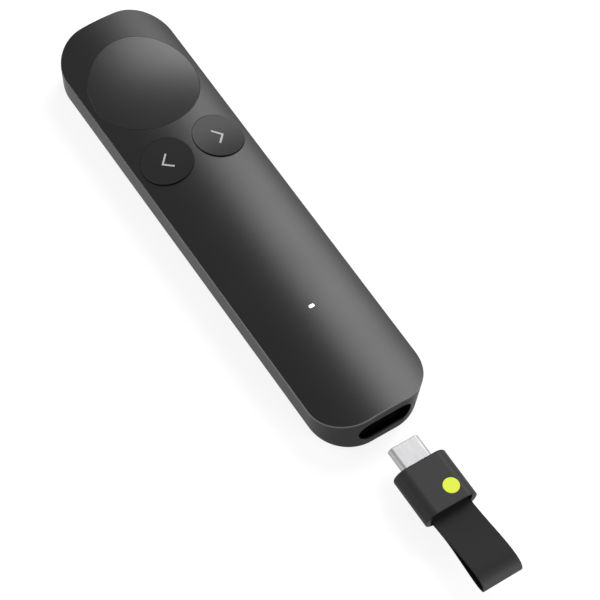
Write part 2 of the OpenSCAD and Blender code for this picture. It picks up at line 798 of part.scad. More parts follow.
// Strap seen from the side. Its frame starts at the pin: the first axis runs out
// along the strap, which rises by strap_rise degrees, and the second one up from
// it. Two legs run bonded together from the bend round the pin to a seam, then
// part into an open loop, each along a cubic curve to the loop's end.
strap_steps = 24;
strap_rise = 8;
loop_sag = 2.05;
loop_u = (strap_l + pin_in - strap_t / 2 - loop_sag * sin(strap_rise)) / cos(strap_rise);
seam_u = 0.4 * loop_u;
leg_reach = 0.345 * (loop_u - seam_u);
upper_leg = [[seam_u, strap_t / 2], [seam_u + leg_reach, strap_t / 2],
    [loop_u, 0.95 * loop_sag], [loop_u, -loop_sag]];
lower_leg = [[loop_u, -loop_sag], [loop_u, -2.22 * loop_sag],
    [seam_u + leg_reach, -strap_t / 2], [seam_u, -strap_t / 2]];
function curve(p, u) = pow(1 - u, 3) * p[0] + 3 * u * pow(1 - u, 2) * p[1]
    + 3 * pow(u, 2) * (1 - u) * p[2] + pow(u, 3) * p[3];
function slope(p, u) = 3 * pow(1 - u, 2) * (p[1] - p[0]) + 6 * u * (1 - u) * (p[2] - p[1])
    + 3 * pow(u, 2) * (p[3] - p[2]);

// Points of one leg, moved by d off its middle line, outwards if d is positive
function leg_points(p, d) = [for (i = [0:strap_steps])
    let (s = slope(p, i / strap_steps))
    curve(p, i / strap_steps) + d * [-s[1], s[0]] / norm(s)];

// Bend round the pin at radius r, whose two sides run on to points h above and
// below the strap's line at the distance u
function pin_points(r, h, u) =
    let (turn = atan2(h, u) + acos(r / norm([u, h])))
    [for (i = [0:2 * strap_steps])
        let (a = turn + (360 - 2 * turn) * (1 - i / (2 * strap_steps)))
        r * [cos(a), sin(a)]];

module strap_loop() {
    bond_u = pin_in + 1.4;
    apex_u = bond_u + strap_t;
    color([0.19, 0.19, 0.2]) translate([strap_w / 2, pin_y, pin_z])
        rotate([90, 0, -90]) linear_extrude(strap_w) rotate(strap_rise) difference() {
            polygon(concat(pin_points(pin_loop_r + strap_t, strap_t, bond_u),
                [[bond_u, strap_t]], leg_points(upper_leg, strap_t / 2),
                leg_points(lower_leg, strap_t / 2), [[bond_u, -strap_t]]));
            polygon(concat(pin_points(pin_loop_r, 0, apex_u), [[apex_u, 0]]));
            polygon(concat(leg_points(upper_leg, -strap_t / 2),
                leg_points(lower_leg, -strap_t / 2)));
        }
}

// -------------------------------------------------------------- the object

base_shell();
top_cover();
receiver_pocket();
main_board();
board_screws();
charge_port_shell();
charge_port_tongue();
charge_port_contacts();
radio_module();
motion_sensor();
charger_chip();
haptic_motor();
battery_cell();
battery_foam();
battery_leads();
battery_plug();
status_led();
status_lens();
pad_switch();
next_switch();
back_switch();
pad_plunger();
next_plunger();
back_plunger();
pointer_pad();
next_button();
next_mark();
back_button();
back_mark();
receiver_housing();
receiver_dot();
plug_shell();
plug_insulator();
plug_contacts();
receiver_board();
receiver_chip();
strap_pin();
strap_loop();
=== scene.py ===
"""Looks of the slide clicker and its plug-in receiver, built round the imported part.

Sizes are in millimetres in the part's own frame, and every mesh is brought to
metres when it is finished. X runs across the remote, Y from its tail to its head.
"""

import logging
import math
from dataclasses import dataclass, field
from enum import Enum
from typing import Callable, Iterable, Iterator, Optional, Sequence

import bmesh
import bpy
from bmesh.types import BMEdge, BMesh, BMFace, BMVert
from bpy.types import Material, Node, NodeSocket, NodeTree, Object
from mathutils import Matrix, Vector


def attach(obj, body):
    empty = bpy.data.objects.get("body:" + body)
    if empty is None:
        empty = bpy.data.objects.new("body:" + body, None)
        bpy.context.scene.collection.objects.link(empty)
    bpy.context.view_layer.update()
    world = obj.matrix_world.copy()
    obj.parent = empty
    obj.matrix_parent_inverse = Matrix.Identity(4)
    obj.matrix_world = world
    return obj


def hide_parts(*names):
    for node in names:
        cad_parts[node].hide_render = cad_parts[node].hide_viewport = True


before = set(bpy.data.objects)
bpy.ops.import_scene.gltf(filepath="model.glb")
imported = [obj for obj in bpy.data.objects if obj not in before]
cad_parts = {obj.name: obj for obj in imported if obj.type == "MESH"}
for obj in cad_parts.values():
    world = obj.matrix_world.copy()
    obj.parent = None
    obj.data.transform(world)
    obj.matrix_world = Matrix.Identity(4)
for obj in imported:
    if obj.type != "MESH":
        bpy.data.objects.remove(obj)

LOG = logging.getLogger("clicker")
MM = 0.001
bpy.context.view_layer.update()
NORMAL_LAYER = "true_normal"
# Vertex layer of painted light and shade: how far a finish takes its painted light colour.
PAINTED_LIGHT_LAYER = "tone"
GRAIN = "moulded_grain"
HAZE = "haze"
TINY = 1e-6
MERGE = 1e-4

Colour = tuple[float, ...]
Slopes = Callable[[float, float], tuple[float, float]]
Inputs = dict[str | int, object]


class Body(Enum):
    """CAD bodies that the pieces ride on."""

    REMOTE = "remote"
    PAD = "pointer_pad"
    NEXT = "next_button"
    BACK = "back_button"
    RECEIVER = "receiver"


class Side(Enum):
    """Which of the two buttons a piece belongs to."""

    NEXT = 1
    BACK = -1


def clamp(value: float, low: float = 0.0, high: float = 1.0) -> float:
    """Holds a value between two bounds."""
    return max(low, min(high, value))


def quarter(count: int, first: int = 1) -> Iterator[tuple[float, float]]:
    """Yields sine and cosine over a right angle in even steps, from step first."""
    for a in (math.pi / 2 * i / count for i in range(first, count + 1)):
        yield math.sin(a), math.cos(a)


def only(kind: type, items: Iterable[object]) -> list:
    """Picks the items of one kind."""
    return [g for g in items if isinstance(g, kind)]


def bevel(bm: BMesh, geom: Sequence, offset: float, segments: int, affect: str = "VERTICES") -> None:
    """Rounds the corners of a flat outline, or edges, by a radius in a number of facets."""
    bmesh.ops.bevel(
        bm, geom=geom, offset=offset, offset_type="OFFSET", segments=segments, profile=0.5,
        affect=affect, material=-1,
    )


# ------------------------------------------------------------------ outlines


@dataclass(frozen=True)
class RoundRect:
    """Flat rectangle with round corners, with its middle on the line x = 0."""

    width: float
    height: float
    radius: float
    segments: int
    cy: float = 0.0

    @classmethod
    def pill(cls, width: float, height: float, segments: int) -> "RoundRect":
        """Outline with round ends, a hair short of full so that no two points meet."""
        return cls(width, height, height / 2 * 0.9995, segments)

    def outward(self, x: float, y: float) -> tuple[float, float]:
        """Finds the direction away from the outline's middle line.

        Args:
            x: Place across.
            y: Place along.

        Returns:
            The two parts of the unit direction there.
        """
        dy = y - self.cy
        qx = abs(x) - (self.width / 2 - self.radius)
        qy = abs(dy) - (self.height / 2 - self.radius)
        if qx > TINY and qy > TINY:
            size = math.hypot(qx, qy)
            return math.copysign(qx / size, x), math.copysign(qy / size, dy)
        if qx > qy:
            return math.copysign(1.0, x), 0.0
        return 0.0, math.copysign(1.0, dy)

    def ring(self, bm: BMesh) -> list[BMEdge]:
        """Adds the outline as a closed loop of edges in the plane z = 0.

        Args:
            bm: Mesh that takes the loop.

        Returns:
            The loop's edges.
        """
        scale = Matrix.Diagonal((self.width, self.height, 1, 1))
        where = Matrix.Translation((0, self.cy, 0)) @ scale
        grid = bmesh.ops.create_grid(bm, x_segments=1, y_segments=1, size=0.5, matrix=where)
        old = set(bm.faces) - {grid["verts"][0].link_faces[0]}
        bevel(bm, grid["verts"], self.radius, self.segments)
        face = next(f for f in bm.faces if f not in old)
        edges = list(face.edges)
        bmesh.ops.delete(bm, geom=[face], context="FACES_ONLY")
        return edges


@dataclass(frozen=True)
class Disc:
    """Circle in plan."""

    cx: float
    cy: float
    radius: float
    segments: int

    def outward(self, x: float, y: float) -> tuple[float, float]:
        """Unit direction away from the circle's centre at a point."""
        size = math.hypot(x - self.cx, y - self.cy) or 1.0
        return (x - self.cx) / size, (y - self.cy) / size

    def ring(self, bm: BMesh) -> list[BMEdge]:
        """Adds the circle as a closed loop of edges in the plane z = 0."""
        where = Matrix.Translation((self.cx, self.cy, 0))
        made = bmesh.ops.create_circle(
            bm, cap_ends=False, radius=self.radius, segments=self.segments, matrix=where
        )
        return list(dict.fromkeys(e for v in made["verts"] for e in v.link_edges))


Outline = RoundRect | Disc


@dataclass(frozen=True)
class Step:
    """One ring of a profile: how far out it lies, its height, its normal and its painted light."""

    out: float
    z: float
    side: float
    up: float
    tone: float = 0.0


@dataclass(frozen=True)
class Ring:
    """Closed loop of edges at an offset from its outline."""

    outline: Outline
    edges: list[BMEdge]
    out: float

    def verts(self) -> set[BMVert]:
        """The ring's points."""
        return {v for e in self.edges for v in e.verts}


def round_edge(z: float, r: float, count: int = 5, sign: int = 1, tone: float = 0.0) -> list[Step]:
    """Rounds an upper edge, from the top plane out to the outline's wall.

    Args:
        z: Height of the top plane.
        r: Radius of the edge.
        count: Number of rings.
        sign: 1 for an outer edge, -1 for the edge of a hole.
        tone: How far the edge takes the finish's painted light colour.

    Returns:
        The rings after the top plane's own ring.
    """
    return [
        Step(-sign * r * (1 - sin), z - r * (1 - cos), sign * sin, cos, tone)
        for sin, cos in quarter(count)
    ]


# -------------------------------------------------------------------- meshes


class Loft:
    """A mesh grown ring by ring from outlines, with the true normal kept at each point."""

    def __init__(self) -> None:
        """Starts an empty mesh with room for normals and painted light."""
        self.bm = bmesh.new()
        self.normals = self.bm.verts.layers.float_vector.new(NORMAL_LAYER)
        self.tone = self.bm.verts.layers.float.new(PAINTED_LIGHT_LAYER)

    def start(self, outline: Outline, step: Step) -> Ring:
        """Adds an outline's first ring at a step of the profile."""
        ring = Ring(outline, outline.ring(self.bm), step.out)
        self.move(ring.verts(), outline, step, 0.0)
        return ring

    def move(self, verts: Iterable[BMVert], outline: Outline, step: Step, before: float) -> None:
        """Moves a ring's points to a step of the profile and stores their normals.

        Args:
            verts: The points.
            outline: Outline that the offsets are measured from.
            step: Where they go.
            before: Offset that they come from.
        """
        for v in verts:
            gx, gy = outline.outward(v.co.x, v.co.y)
            v.co.x += gx * (step.out - before)
            v.co.y += gy * (step.out - before)
            v.co.z = step.z
            v[self.normals] = Vector((gx * step.side, gy * step.side, step.up))
            v[self.tone] = step.tone

    def copy_ring(self, edges: Sequence[BMEdge]) -> tuple[list[BMVert], list[BMEdge]]:
        """Extrudes a ring in place.

        Args:
            edges: The ring.

        Returns:
            The new ring's points and edges.
        """
        made = bmesh.ops.extrude_edge_only(self.bm, edges=edges)["geom"]
        verts = only(BMVert, made)
        own = set(verts)
        return verts, [e for e in only(BMEdge, made) if own.issuperset(e.verts)]

    def grow(self, ring: Ring, steps: Iterable[Step]) -> Ring:
        """Grows a ring through the steps of a profile.

        Args:
            ring: The ring to start from.
            steps: The profile.

        Returns:
            The last ring.
        """
        for step in steps:
            verts, edges = self.copy_ring(ring.edges)
            self.move(verts, ring.outline, step, ring.out)
            ring = Ring(ring.outline, edges, step.out)
        return ring

    def fill(self, up: int, *rings: Ring) -> None:
        """Closes the flat area between rings; up is 1 if it faces up, -1 if it faces down."""
        edges = [e for ring in rings for e in ring.edges]
        bmesh.ops.triangle_fill(
            self.bm, use_beauty=True, use_dissolve=False, edges=edges, normal=(0, 0, up)
        )

    def solid(self, outline: Outline, steps: Sequence[Step]) -> None:
        """Makes a closed solid of an outline, from its top ring down."""
        top = self.start(outline, steps[0])
        self.fill(1, top)
        self.fill(-1, self.grow(top, steps[1:]))

    def slice(self, spacing: float, half: float, axis: int = 0, shift: float = 0.013) -> None:
        """Cuts every face at regular places along an axis, so that it can bend.

        Args:
            spacing: Distance between the cuts.
            half: The cuts run from -half to half.
            axis: 0 for X, 1 for Y.
            shift: How far the cuts are moved off the middle, to miss other edges.
        """
        plane = Vector((1, 0, 0)) if axis == 0 else Vector((0, 1, 0))
        count = int(half / spacing)
        for k in range(-count, count + 1):
            geom = self.bm.verts[:] + self.bm.edges[:] + self.bm.faces[:]
            place = plane * (k * spacing + shift)
            bmesh.ops.bisect_plane(self.bm, geom=geom, dist=MERGE, plane_co=place, plane_no=plane)

    def lift(
        self, height: Callable[[float, float], float], slope: Slopes, above: float = -math.inf
    ) -> None:
        """Raises each point by a height that depends on its place, and tilts its normal.

        Args:
            height: Height over (x, y).
            slope: The height's two slopes.
            above: Points lower than this stay.
        """
        for v in self.bm.verts:
            if v.co.z < above:
                continue
            x, y = v.co.x, v.co.y
            sx, sy = slope(x, y)
            n = v[self.normals]
            v.co.z += height(x, y)
            v[self.normals] = Vector((n.x - sx * n.z, n.y - sy * n.z, n.z)).normalized()

    def turn_to_tail(self, height: float) -> None:
        """Turns a mesh that was grown along Z so that it runs along -Y at a height."""
        matrix = Matrix(((1, 0, 0, 0), (0, 0, -1, 0), (0, 1, 0, height), (0, 0, 0, 1)))
        rotation = matrix.to_3x3()
        for v in self.bm.verts:
            v[self.normals] = rotation @ v[self.normals]
        bmesh.ops.transform(self.bm, matrix=matrix, verts=self.bm.verts[:])

    def finish(self, name: str, merge: float = MERGE) -> Object:
        """Closes the mesh and makes it a smooth object in metres.

        Args:
            name: Name of the object.
            merge: Points closer than this are merged.

        Returns:
            The object, at the origin.
        """
        bmesh.ops.remove_doubles(self.bm, verts=self.bm.verts[:], dist=merge)
        bmesh.ops.recalc_face_normals(self.bm, faces=self.bm.faces[:])
        return to_object(self.bm, name)


def link(name: str, data: bpy.types.ID) -> Object:
    """Makes an object from its data and puts it into the scene."""
    obj = bpy.data.objects.new(name, data)
    bpy.context.scene.collection.objects.link(obj)
    return obj


def to_object(bm: BMesh, name: str, sharp: float = 35.0) -> Object:
    """Turns a mesh in millimetres into an object in metres with its true normals.

    Args:
        bm: The mesh, which is freed.
        name: Name of the object.
        sharp: Edges over this angle, in degrees, are sharp where no true normal is kept.

    Returns:
        The object, at the origin.
    """
    bmesh.ops.scale(bm, vec=(MM, MM, MM), verts=bm.verts[:])
    mesh = bpy.data.meshes.new(name)
    bm.to_mesh(mesh)
    bm.free()
    obj = link(name, mesh)
    kept = mesh.attributes.get(NORMAL_LAYER)
    known = [Vector(d.vector) for d in kept.data] if kept else [None] * len(mesh.vertices)
    if kept:
        mesh.attributes.remove(kept)
    set_normals(obj, lambda index, _co, _face: known[index], sharp)
    return obj


def set_normals(
    obj: Object,
    true_normal: Callable[[int, Vector, Vector], Optional[Vector]],
    sharp: float,
    limit: float = 50.0,
) -> None:
    """Gives each face corner the surface's true normal where it is known.

    Args:
        obj: The mesh object.
        true_normal: Normal at a point, from its index, place and face normal, or None.
        sharp: Edges over this angle are sharp where it is not known.
        limit: Largest angle between the true normal and the face's own.
    """
    mesh = obj.data
    mesh.polygons.foreach_set("use_smooth", [True] * len(mesh.polygons))
    mesh.set_sharp_from_angle(angle=math.radians(sharp))
    smooth = [Vector(n.vector) for n in mesh.corner_normals]
    least = math.cos(math.radians(limit))
    corners = []
    for poly in mesh.polygons:
        for i in poly.loop_indices:
            vertex = mesh.loops[i].vertex_index
            normal = true_normal(vertex, mesh.vertices[vertex].co, poly.normal)
            known = normal is not None and normal.length > 0.5
            if known and normal.normalized().dot(poly.normal) > least:
                corners.append(normal.normalized())
            else:
                corners.append(Vector(poly.normal) if known else smooth[i])
    mesh.normals_split_custom_set(corners)


def cut(obj: Object, cutter: Object) -> None:
    """Takes a cutter out of a mesh object and removes the cutter.

    Args:
        obj: Object that is cut.
        cutter: Closed mesh, which is deleted.
    """
    tool = obj.modifiers.new("cut", "BOOLEAN")
    tool.operation, tool.solver, tool.object = "DIFFERENCE", "EXACT", cutter
    shown = obj.evaluated_get(bpy.context.evaluated_depsgraph_get())
    mesh = bpy.data.meshes.new_from_object(shown)
    obj.modifiers.clear()
    obj.data = mesh
    bpy.data.objects.remove(cutter)


def place(obj: Object, body: Body, node: str, material: Material) -> None:
    """Dresses a piece, lets it ride on its body and stand for its CAD node.

    Args:
        obj: The piece.
        body: Body that it rides on.
        node: CAD node that it replaces.
        material: Its finish.
    """
    obj.data.materials.clear()
    obj.data.materials.append(material)
    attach(obj, body.value)
    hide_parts(node)
    LOG.info("%s: %d faces on %s", obj.name, len(obj.data.polygons), body.value)


# ------------------------------------------------------------------ finishes


class Graph:
    """Short way to lay out a node tree."""

    def __init__(self, tree: NodeTree) -> None:
        """Keeps the tree that the nodes go into."""
        self.tree = tree

    def feed(self, node: Node, inputs: Inputs) -> None:
        """Sets or links a node's inputs.

        Args:
            node: The node.
            inputs: A value or another node's output for each input.
        """
        for key, value in inputs.items():
            if isinstance(value, NodeSocket):
                self.tree.links.new(value, node.inputs[key])
            else:
                node.inputs[key].default_value = value

    def surface(self, inputs: Inputs) -> None:
        """Sets or links the inputs of the material's own shader."""
        self.feed(self.tree.nodes["Principled BSDF"], inputs)

    def node(self, kind: str, inputs: Inputs, **settings: object) -> Node:
        """Adds a node.

        Args:
            kind: Its type.
            inputs: What its inputs are fed with.
            **settings: Its own properties.

        Returns:
            The node.
        """
        made = self.tree.nodes.new(kind)
        for key, value in settings.items():
            setattr(made, key, value)
        self.feed(made, inputs)
        return made

    def where(self) -> NodeSocket:
        """Adds the object coordinates."""
        return self.node("ShaderNodeTexCoord", {}).outputs["Object"]

    def noise(
        self, vector: NodeSocket, scale: NodeSocket | float, detail: float = 3.0, rough: float = 0.55
    ) -> NodeSocket:
        """Adds noise of a fineness, with a number of octaves and a weight of the finer ones."""
        inputs = {"Vector": vector, "Scale": scale, "Detail": detail, "Roughness": rough}
        return self.node("ShaderNodeTexNoise", inputs).outputs["Fac"]

    def math(self, kind: str, a: NodeSocket, b: NodeSocket | float) -> NodeSocket:
        """Adds a sum, product or other combination of two values."""
        return self.node("ShaderNodeMath", {0: a, 1: b}, operation=kind).outputs[0]

    def span(self, value: NodeSocket, low: float, high: float, least: float, most: float) -> NodeSocket:
        """Maps the range from low to high to that from least to most, held at its ends."""
        ends = {"From Min": low, "From Max": high, "To Min": least, "To Max": most}
        return self.node("ShaderNodeMapRange", {"Value": value, **ends}, clamp=True).outputs["Result"]

    def mix(self, factor: NodeSocket, a: NodeSocket | Colour, b: NodeSocket | Colour) -> NodeSocket:
        """Mixes two colours."""
        inputs = {"Factor": factor, "A": a, "B": b}
        return self.node("ShaderNodeMix", inputs, data_type="RGBA").outputs["Result"]

    def bump(self, height: NodeSocket, strength: float, distance: float) -> NodeSocket:
        """Turns a height into a normal."""
        inputs = {"Height": height, "Strength": strength, "Distance": distance}
        return self.node("ShaderNodeBump", inputs).outputs["Normal"]

    def effect(self, name: str, inputs: Inputs) -> Node:
        """Places one of the shared effects."""
        return self.node("ShaderNodeGroup", inputs, node_tree=bpy.data.node_groups[name])

    def haze(self, where: NodeSocket, color: Colour, pale: Colour, amount: float) -> NodeSocket:
        """Adds the colour with an amount of pale haze."""
        inputs = {"Vector": where, "Color": (*color, 1), "Pale": (*pale, 1), "Amount": amount}
        return self.effect(HAZE, inputs).outputs["Color"]


def new_group(name: str, inputs: dict[str, object], outputs: dict[str, type]) -> tuple[Graph, Node, Node]:
    """Starts a shader node group.

    Args:
        name: Name of the group.
        inputs: Default of each input, whose type follows from it; None is a vector.
        outputs: Type of each output.

    Returns:
        The group's graph with its input and output nodes.
    """
    kinds = {float: "NodeSocketFloat", tuple: "NodeSocketColor", type(None): "NodeSocketVector"}
    tree = bpy.data.node_groups.new(name, "ShaderNodeTree")
    for label, default in inputs.items():
        made = tree.interface.new_socket(label, in_out="INPUT", socket_type=kinds[type(default)])
        if default is not None:
            made.default_value = default
    for label, kind in outputs.items():
        tree.interface.new_socket(label, in_out="OUTPUT", socket_type=kinds[kind])
    return Graph(tree), tree.nodes.new("NodeGroupInput"), tree.nodes.new("NodeGroupOutput")


def make_grain() -> None:
    """Makes the fine moulded grain: a height for the bump and a roughness that goes with it."""
    g, given, out = new_group(
        GRAIN,
        {"Vector": None, "Fineness": 9000.0, "Roughness": 0.45, "Spread": 0.05},
        {"Roughness": float, "Height": float},
    )
    vector, fineness, roughness, spread = list(given.outputs)[:4]
    fine = g.noise(vector, fineness, 2.0, 0.6)
    broad = g.noise(vector, 60.0, 4.0, 0.5)
    both = g.math("ADD", g.math("MULTIPLY", broad, 0.7), g.math("MULTIPLY", fine, 0.3))
    swing = g.math("MULTIPLY", g.math("SUBTRACT", both, 0.5), spread)
    g.feed(out, {"Roughness": g.math("ADD", roughness, swing), "Height": fine})


def make_haze() -> None:
    """Makes the faint handling haze: pale specks and a slow drift over a base colour."""
    g, given, out = new_group(
        HAZE,
        {"Vector": None, "Color": (0.1, 0.1, 0.1, 1), "Pale": (0.2, 0.2, 0.2, 1), "Amount": 0.1},
        {"Color": tuple, "Mask": float},
    )
    vector, color, pale, amount = list(given.outputs)[:4]
    drift = g.span(g.noise(vector, 45.0), 0.35, 0.7, 0.0, 1.0)
    speck = g.span(g.noise(vector, 2600.0, 1.0), 0.70, 0.78, 0.0, 1.0)
    mask = g.math("MULTIPLY", g.math("MAXIMUM", drift, speck), amount)
    g.feed(out, {"Color": g.mix(mask, color, pale), "Mask": mask})


def srgb(level: float) -> float:
    """Linear value of a level from 0 to 255 as it shows on a screen."""
    c = level / 255
    return c / 12.92 if c <= 0.04045 else ((c + 0.055) / 1.055) ** 2.4


def grey(level: float) -> Colour:
    """Grey of a screen level, as a linear colour."""
    return (srgb(level),) * 3


@dataclass(frozen=True)
class Finish:
    """Look of a piece: a material's name and its clean colour."""

    name: str
    color: Colour

    def build(self) -> Material:
        """Makes the material.

        Returns:
            The material.
        """
        material = bpy.data.materials.new(self.name)
        material.use_nodes = True
        self.lay(Graph(material.node_tree))
        return material

    def lay(self, g: Graph) -> None:
        """Lays out the material's graph; each kind of finish has its own way."""
        raise NotImplementedError


@dataclass(frozen=True)
class Moulded(Finish):
    """Moulded plastic or rubber with a fine grain and a little haze."""

    roughness: float
    spread: float = 0.10
    fineness: float = 8000.0
    depth: float = 0.08
    haze: float = 0.05
    specular: float = 0.5
    sheen: float = 0.0
    # Colour of painted light or shade, laid where the mesh's painted light layer is set.
    painted_light_color: Optional[Colour] = None
    grain_height: float = 0.0001

    def lay(self, g: Graph) -> None:
        """Lays grain and haze, and the painted light colour, a painted highlight or shade, where the mesh
        has painted light.

        Args:
            g: The material's graph.
        """
        where = g.where()
        given = {"Fineness": self.fineness, "Roughness": self.roughness, "Spread": self.spread}
        grain = g.effect(GRAIN, {"Vector": where, **given}).outputs
        pale = tuple(min(1.0, 2 * c + 0.02) for c in self.color)
        color = g.haze(where, self.color, pale, self.haze)
        if self.painted_light_color:
            tone = g.node("ShaderNodeAttribute", {}, attribute_name=PAINTED_LIGHT_LAYER)
            color = g.mix(tone.outputs["Fac"], color, (*self.painted_light_color, 1))
        normal = g.bump(grain["Height"], self.depth, self.grain_height)
        g.surface({"Base Color": color, "Roughness": grain["Roughness"], "Normal": normal})
        g.surface({"Specular IOR Level": self.specular, "Sheen Weight": self.sheen})


@dataclass(frozen=True)
class Metal(Finish):
    """Drawn, stamped or turned metal with fine rolling lines along one axis."""

    roughness: float
    lines: tuple[float, float, float] = (9000.0, 300.0, 9000.0)
    depth: float = 0.03
    # Colour of a painted shade where the surface turns away from the view, in place of dark reflections.
    edge: Optional[Colour] = None
    haze: float = 0.25
    line_height: float = 0.00005

    def lay(self, g: Graph) -> None:
        """Lays lines and haze, and a painted shade where the surface turns away from the view, standing in
        for dark reflections.

        Args:
            g: The material's graph.
        """
        where = g.where()
        stretch = g.node("ShaderNodeMapping", {"Vector": where, "Scale": self.lines})
        line = g.noise(stretch.outputs["Vector"], 1.0, 2.0)
        color = g.haze(where, self.color, tuple(0.86 * c for c in self.color), self.haze)
        if self.edge:
            # Painted shade: darker towards the silhouette, in place of dark reflections.
            facing = g.node("ShaderNodeLayerWeight", {"Blend": 0.3}).outputs["Facing"]
            color = g.mix(g.span(facing, 0.45, 0.9, 0, 1), color, (*self.edge, 1))
        rough = g.span(line, 0.3, 0.7, self.roughness - 0.04, self.roughness + 0.05)
        normal = g.bump(line, self.depth, self.line_height)
        g.surface({"Base Color": color, "Roughness": rough, "Normal": normal, "Metallic": 1.0})


@dataclass(frozen=True)
class Lamp(Finish):
    """Milky light window that is lit from behind."""

    strength: float
    roughness: float = 0.3
    haze: float = 0.4

    def lay(self, g: Graph) -> None:
        """Lays a glow of the window's own hazy colour."""
        color = g.haze(g.where(), self.color, (1, 1, 1), self.haze)
        glow = {"Emission Color": color, "Emission Strength": self.strength}
        g.surface({"Base Color": color, "Roughness": self.roughness, **glow})


@dataclass(frozen=True)
class Board(Finish):
    """Circuit board: solder mask with tracks and pads under it."""

    track: Colour
    pitch: float = 900.0
    roughness: float = 0.32
    spread: float = 0.1
    depth: float = 0.2
    track_height: float = 0.00005

    def lay(self, g: Graph) -> None:
        """Lays square cells with tracks between them.

        Args:
            g: The material's graph.
        """
        where = g.where()
        cells = {"Scale": self.pitch, "Vector": where}
        made = g.node("ShaderNodeTexVoronoi", cells, distance="CHEBYCHEV", feature="F1")
        lines = g.span(made.outputs["Distance"], 0.36, 0.42, 0.0, 1.0)
        color = g.mix(lines, (*self.color, 1), (*self.track, 1))
        given = {"Vector": where, "Roughness": self.roughness, "Spread": self.spread}
        rough = g.effect(GRAIN, given).outputs["Roughness"]
        normal = g.bump(lines, self.depth, self.track_height)
        g.surface({"Base Color": color, "Roughness": rough, "Normal": normal})


# ------------------------------------------------------------ sizes of the remote


@dataclass(frozen=True)
class Crown:
    """Crown of the cover: a cylinder along Y."""

    top: float = 13.4
    half_width: float = 15.05
    drop: float = 3.15

    @property
    def radius(self) -> float:
        """Radius of the crown."""
        return (self.half_width**2 + self.drop**2) / (2 * self.drop)

    def height(self, x: float, _y: float = 0.0) -> float:
        """Height of the crown over x."""
        return self.top - self.radius + math.sqrt(self.radius**2 - x * x)

    def slope(self, x: float, _y: float = 0.0) -> tuple[float, float]:
        """Slopes of the crown at x."""
        return -x / math.sqrt(self.radius**2 - x * x), 0.0


@dataclass(frozen=True)
class CapSize:
    """One moving cap: its place, its dished and tilted top, and the gap round it."""

    x: float
    y: float
    radius: float
    gap: float
    dish: float
    edge: float
    stem: float
    proud: float = 0.0
    tilt: float = 0.0

    def height(self, crown: Crown) -> Callable[[float, float], float]:
        """Height of the cap's dished top, as a function of the place."""
        return lambda x, y: (
            crown.height(x)
            + self.proud
            - self.tilt * (y - self.y)
            - self.dish * (1 - ((x - self.x) ** 2 + (y - self.y) ** 2) / self.radius**2)
        )

    def slope(self, crown: Crown) -> Slopes:
        """Slopes of the cap's dished top, as a function of the place."""
        k = 2 * self.dish / self.radius**2
        return lambda x, y: (crown.slope(x)[0] + k * (x - self.x), k * (y - self.y) - self.tilt)


def button(side: Side) -> CapSize:
    """Cap of one of the two buttons."""
    return CapSize(
        x=7.2 * side.value, y=19.65, radius=6.34, gap=0.05, dish=0.52, edge=0.06, stem=1.2,
        proud=0.26, tilt=0.032,
    )


@dataclass(frozen=True)
class Layout:
    """Places and sizes that the pieces of the remote share.

    The shell meets the cover at edge_z. Below it the sides lean in by side_lean, the
    ends swell out by end_swell and the corners grow to low_corner.
    """

    width: float = 30.1
    length: float = 125.7
    corner: float = 10.1
    side_lean: float = 1.2
    end_swell: float = 0.72
    low_corner: float = 10.5
    bottom_r: float = 2.2
    edge_z: float = 10.25
    wall: float = 1.25
    floor: float = 1.5
    rim: float = 0.6
    cover: float = 1.4
    step: float = 1.27
    slot_z: float = 7.13
    slot_w: float = 14.52
    slot_t: float = 6.44
    stem_z: float = 7.98
    light_y: float = -31.45
    light_w: float = 1.42
    light_t: float = 0.84
    bend: float = 0.6
    crown: Crown = field(default_factory=Crown)
    pad: CapSize = CapSize(x=0.0, y=41.65, radius=13.59, gap=0.03, dish=1.3, edge=0.05, stem=1.7)
    next: CapSize = button(Side.NEXT)
    back: CapSize = button(Side.BACK)

    @property
    def plan(self) -> RoundRect:
        """Outline of the cover in plan."""
        return RoundRect(self.width, self.length, self.corner, 20)


# --------------------------------------------------------- pieces of the remote


@dataclass
class Cover:
    """Crowned cover with its openings; its rounded rim edge carries a painted highlight, which grows from
    painted_rim_highlight_from towards the tail over painted_rim_highlight_fade.
    """

    size: Layout
    edge: float = 0.12
    hole_edge: float = 0.05
    window_gap: float = 0.03
    window_short: float = 0.001
    painted_rim_highlight_from: float = -15.0
    painted_rim_highlight_fade: float = 30.0

    def build(self) -> Object:
        """Makes the cover.

        Returns:
            The cover.
        """
        s, loft = self.size, Loft()
        wide, thick = s.light_w + self.window_gap, s.light_t + self.window_gap
        holes: list[Outline] = [Disc(c.x, c.y, c.radius + c.gap, 160) for c in (s.pad, s.next, s.back)]
        holes.append(RoundRect(wide, thick, thick / 2 - self.window_short, 10, s.light_y))
        outer = loft.start(s.plan, Step(-self.edge, 0, 0, 1))
        inner = [loft.start(h, Step(self.hole_edge, 0, 0, 1)) for h in holes]
        loft.fill(1, outer, *inner)
        side = [
            # Painted highlight on the rounded outer edge, faded out towards the head below.
            *round_edge(0, self.edge, tone=1.0),
            Step(0, -s.rim, 1, 0),
            Step(-s.step, -s.rim, 0, -1),
            Step(-s.step, -s.cover, 1, 0),
        ]
        outer = loft.grow(outer, side)
        # Painted highlight: the rim edge is painted pale towards the tail only, fading out forwards.
        for v in loft.bm.verts:
            v[loft.tone] *= clamp((self.painted_rim_highlight_from - v.co.y) / self.painted_rim_highlight_fade)
        bore = [*round_edge(0, self.hole_edge, 4, -1), Step(0, -s.cover, -1, 0)]
        loft.fill(-1, outer, *(loft.grow(ring, bore) for ring in inner))
        loft.slice(s.bend, s.width / 2)
        loft.lift(s.crown.height, s.crown.slope)
        return loft.finish("cover")


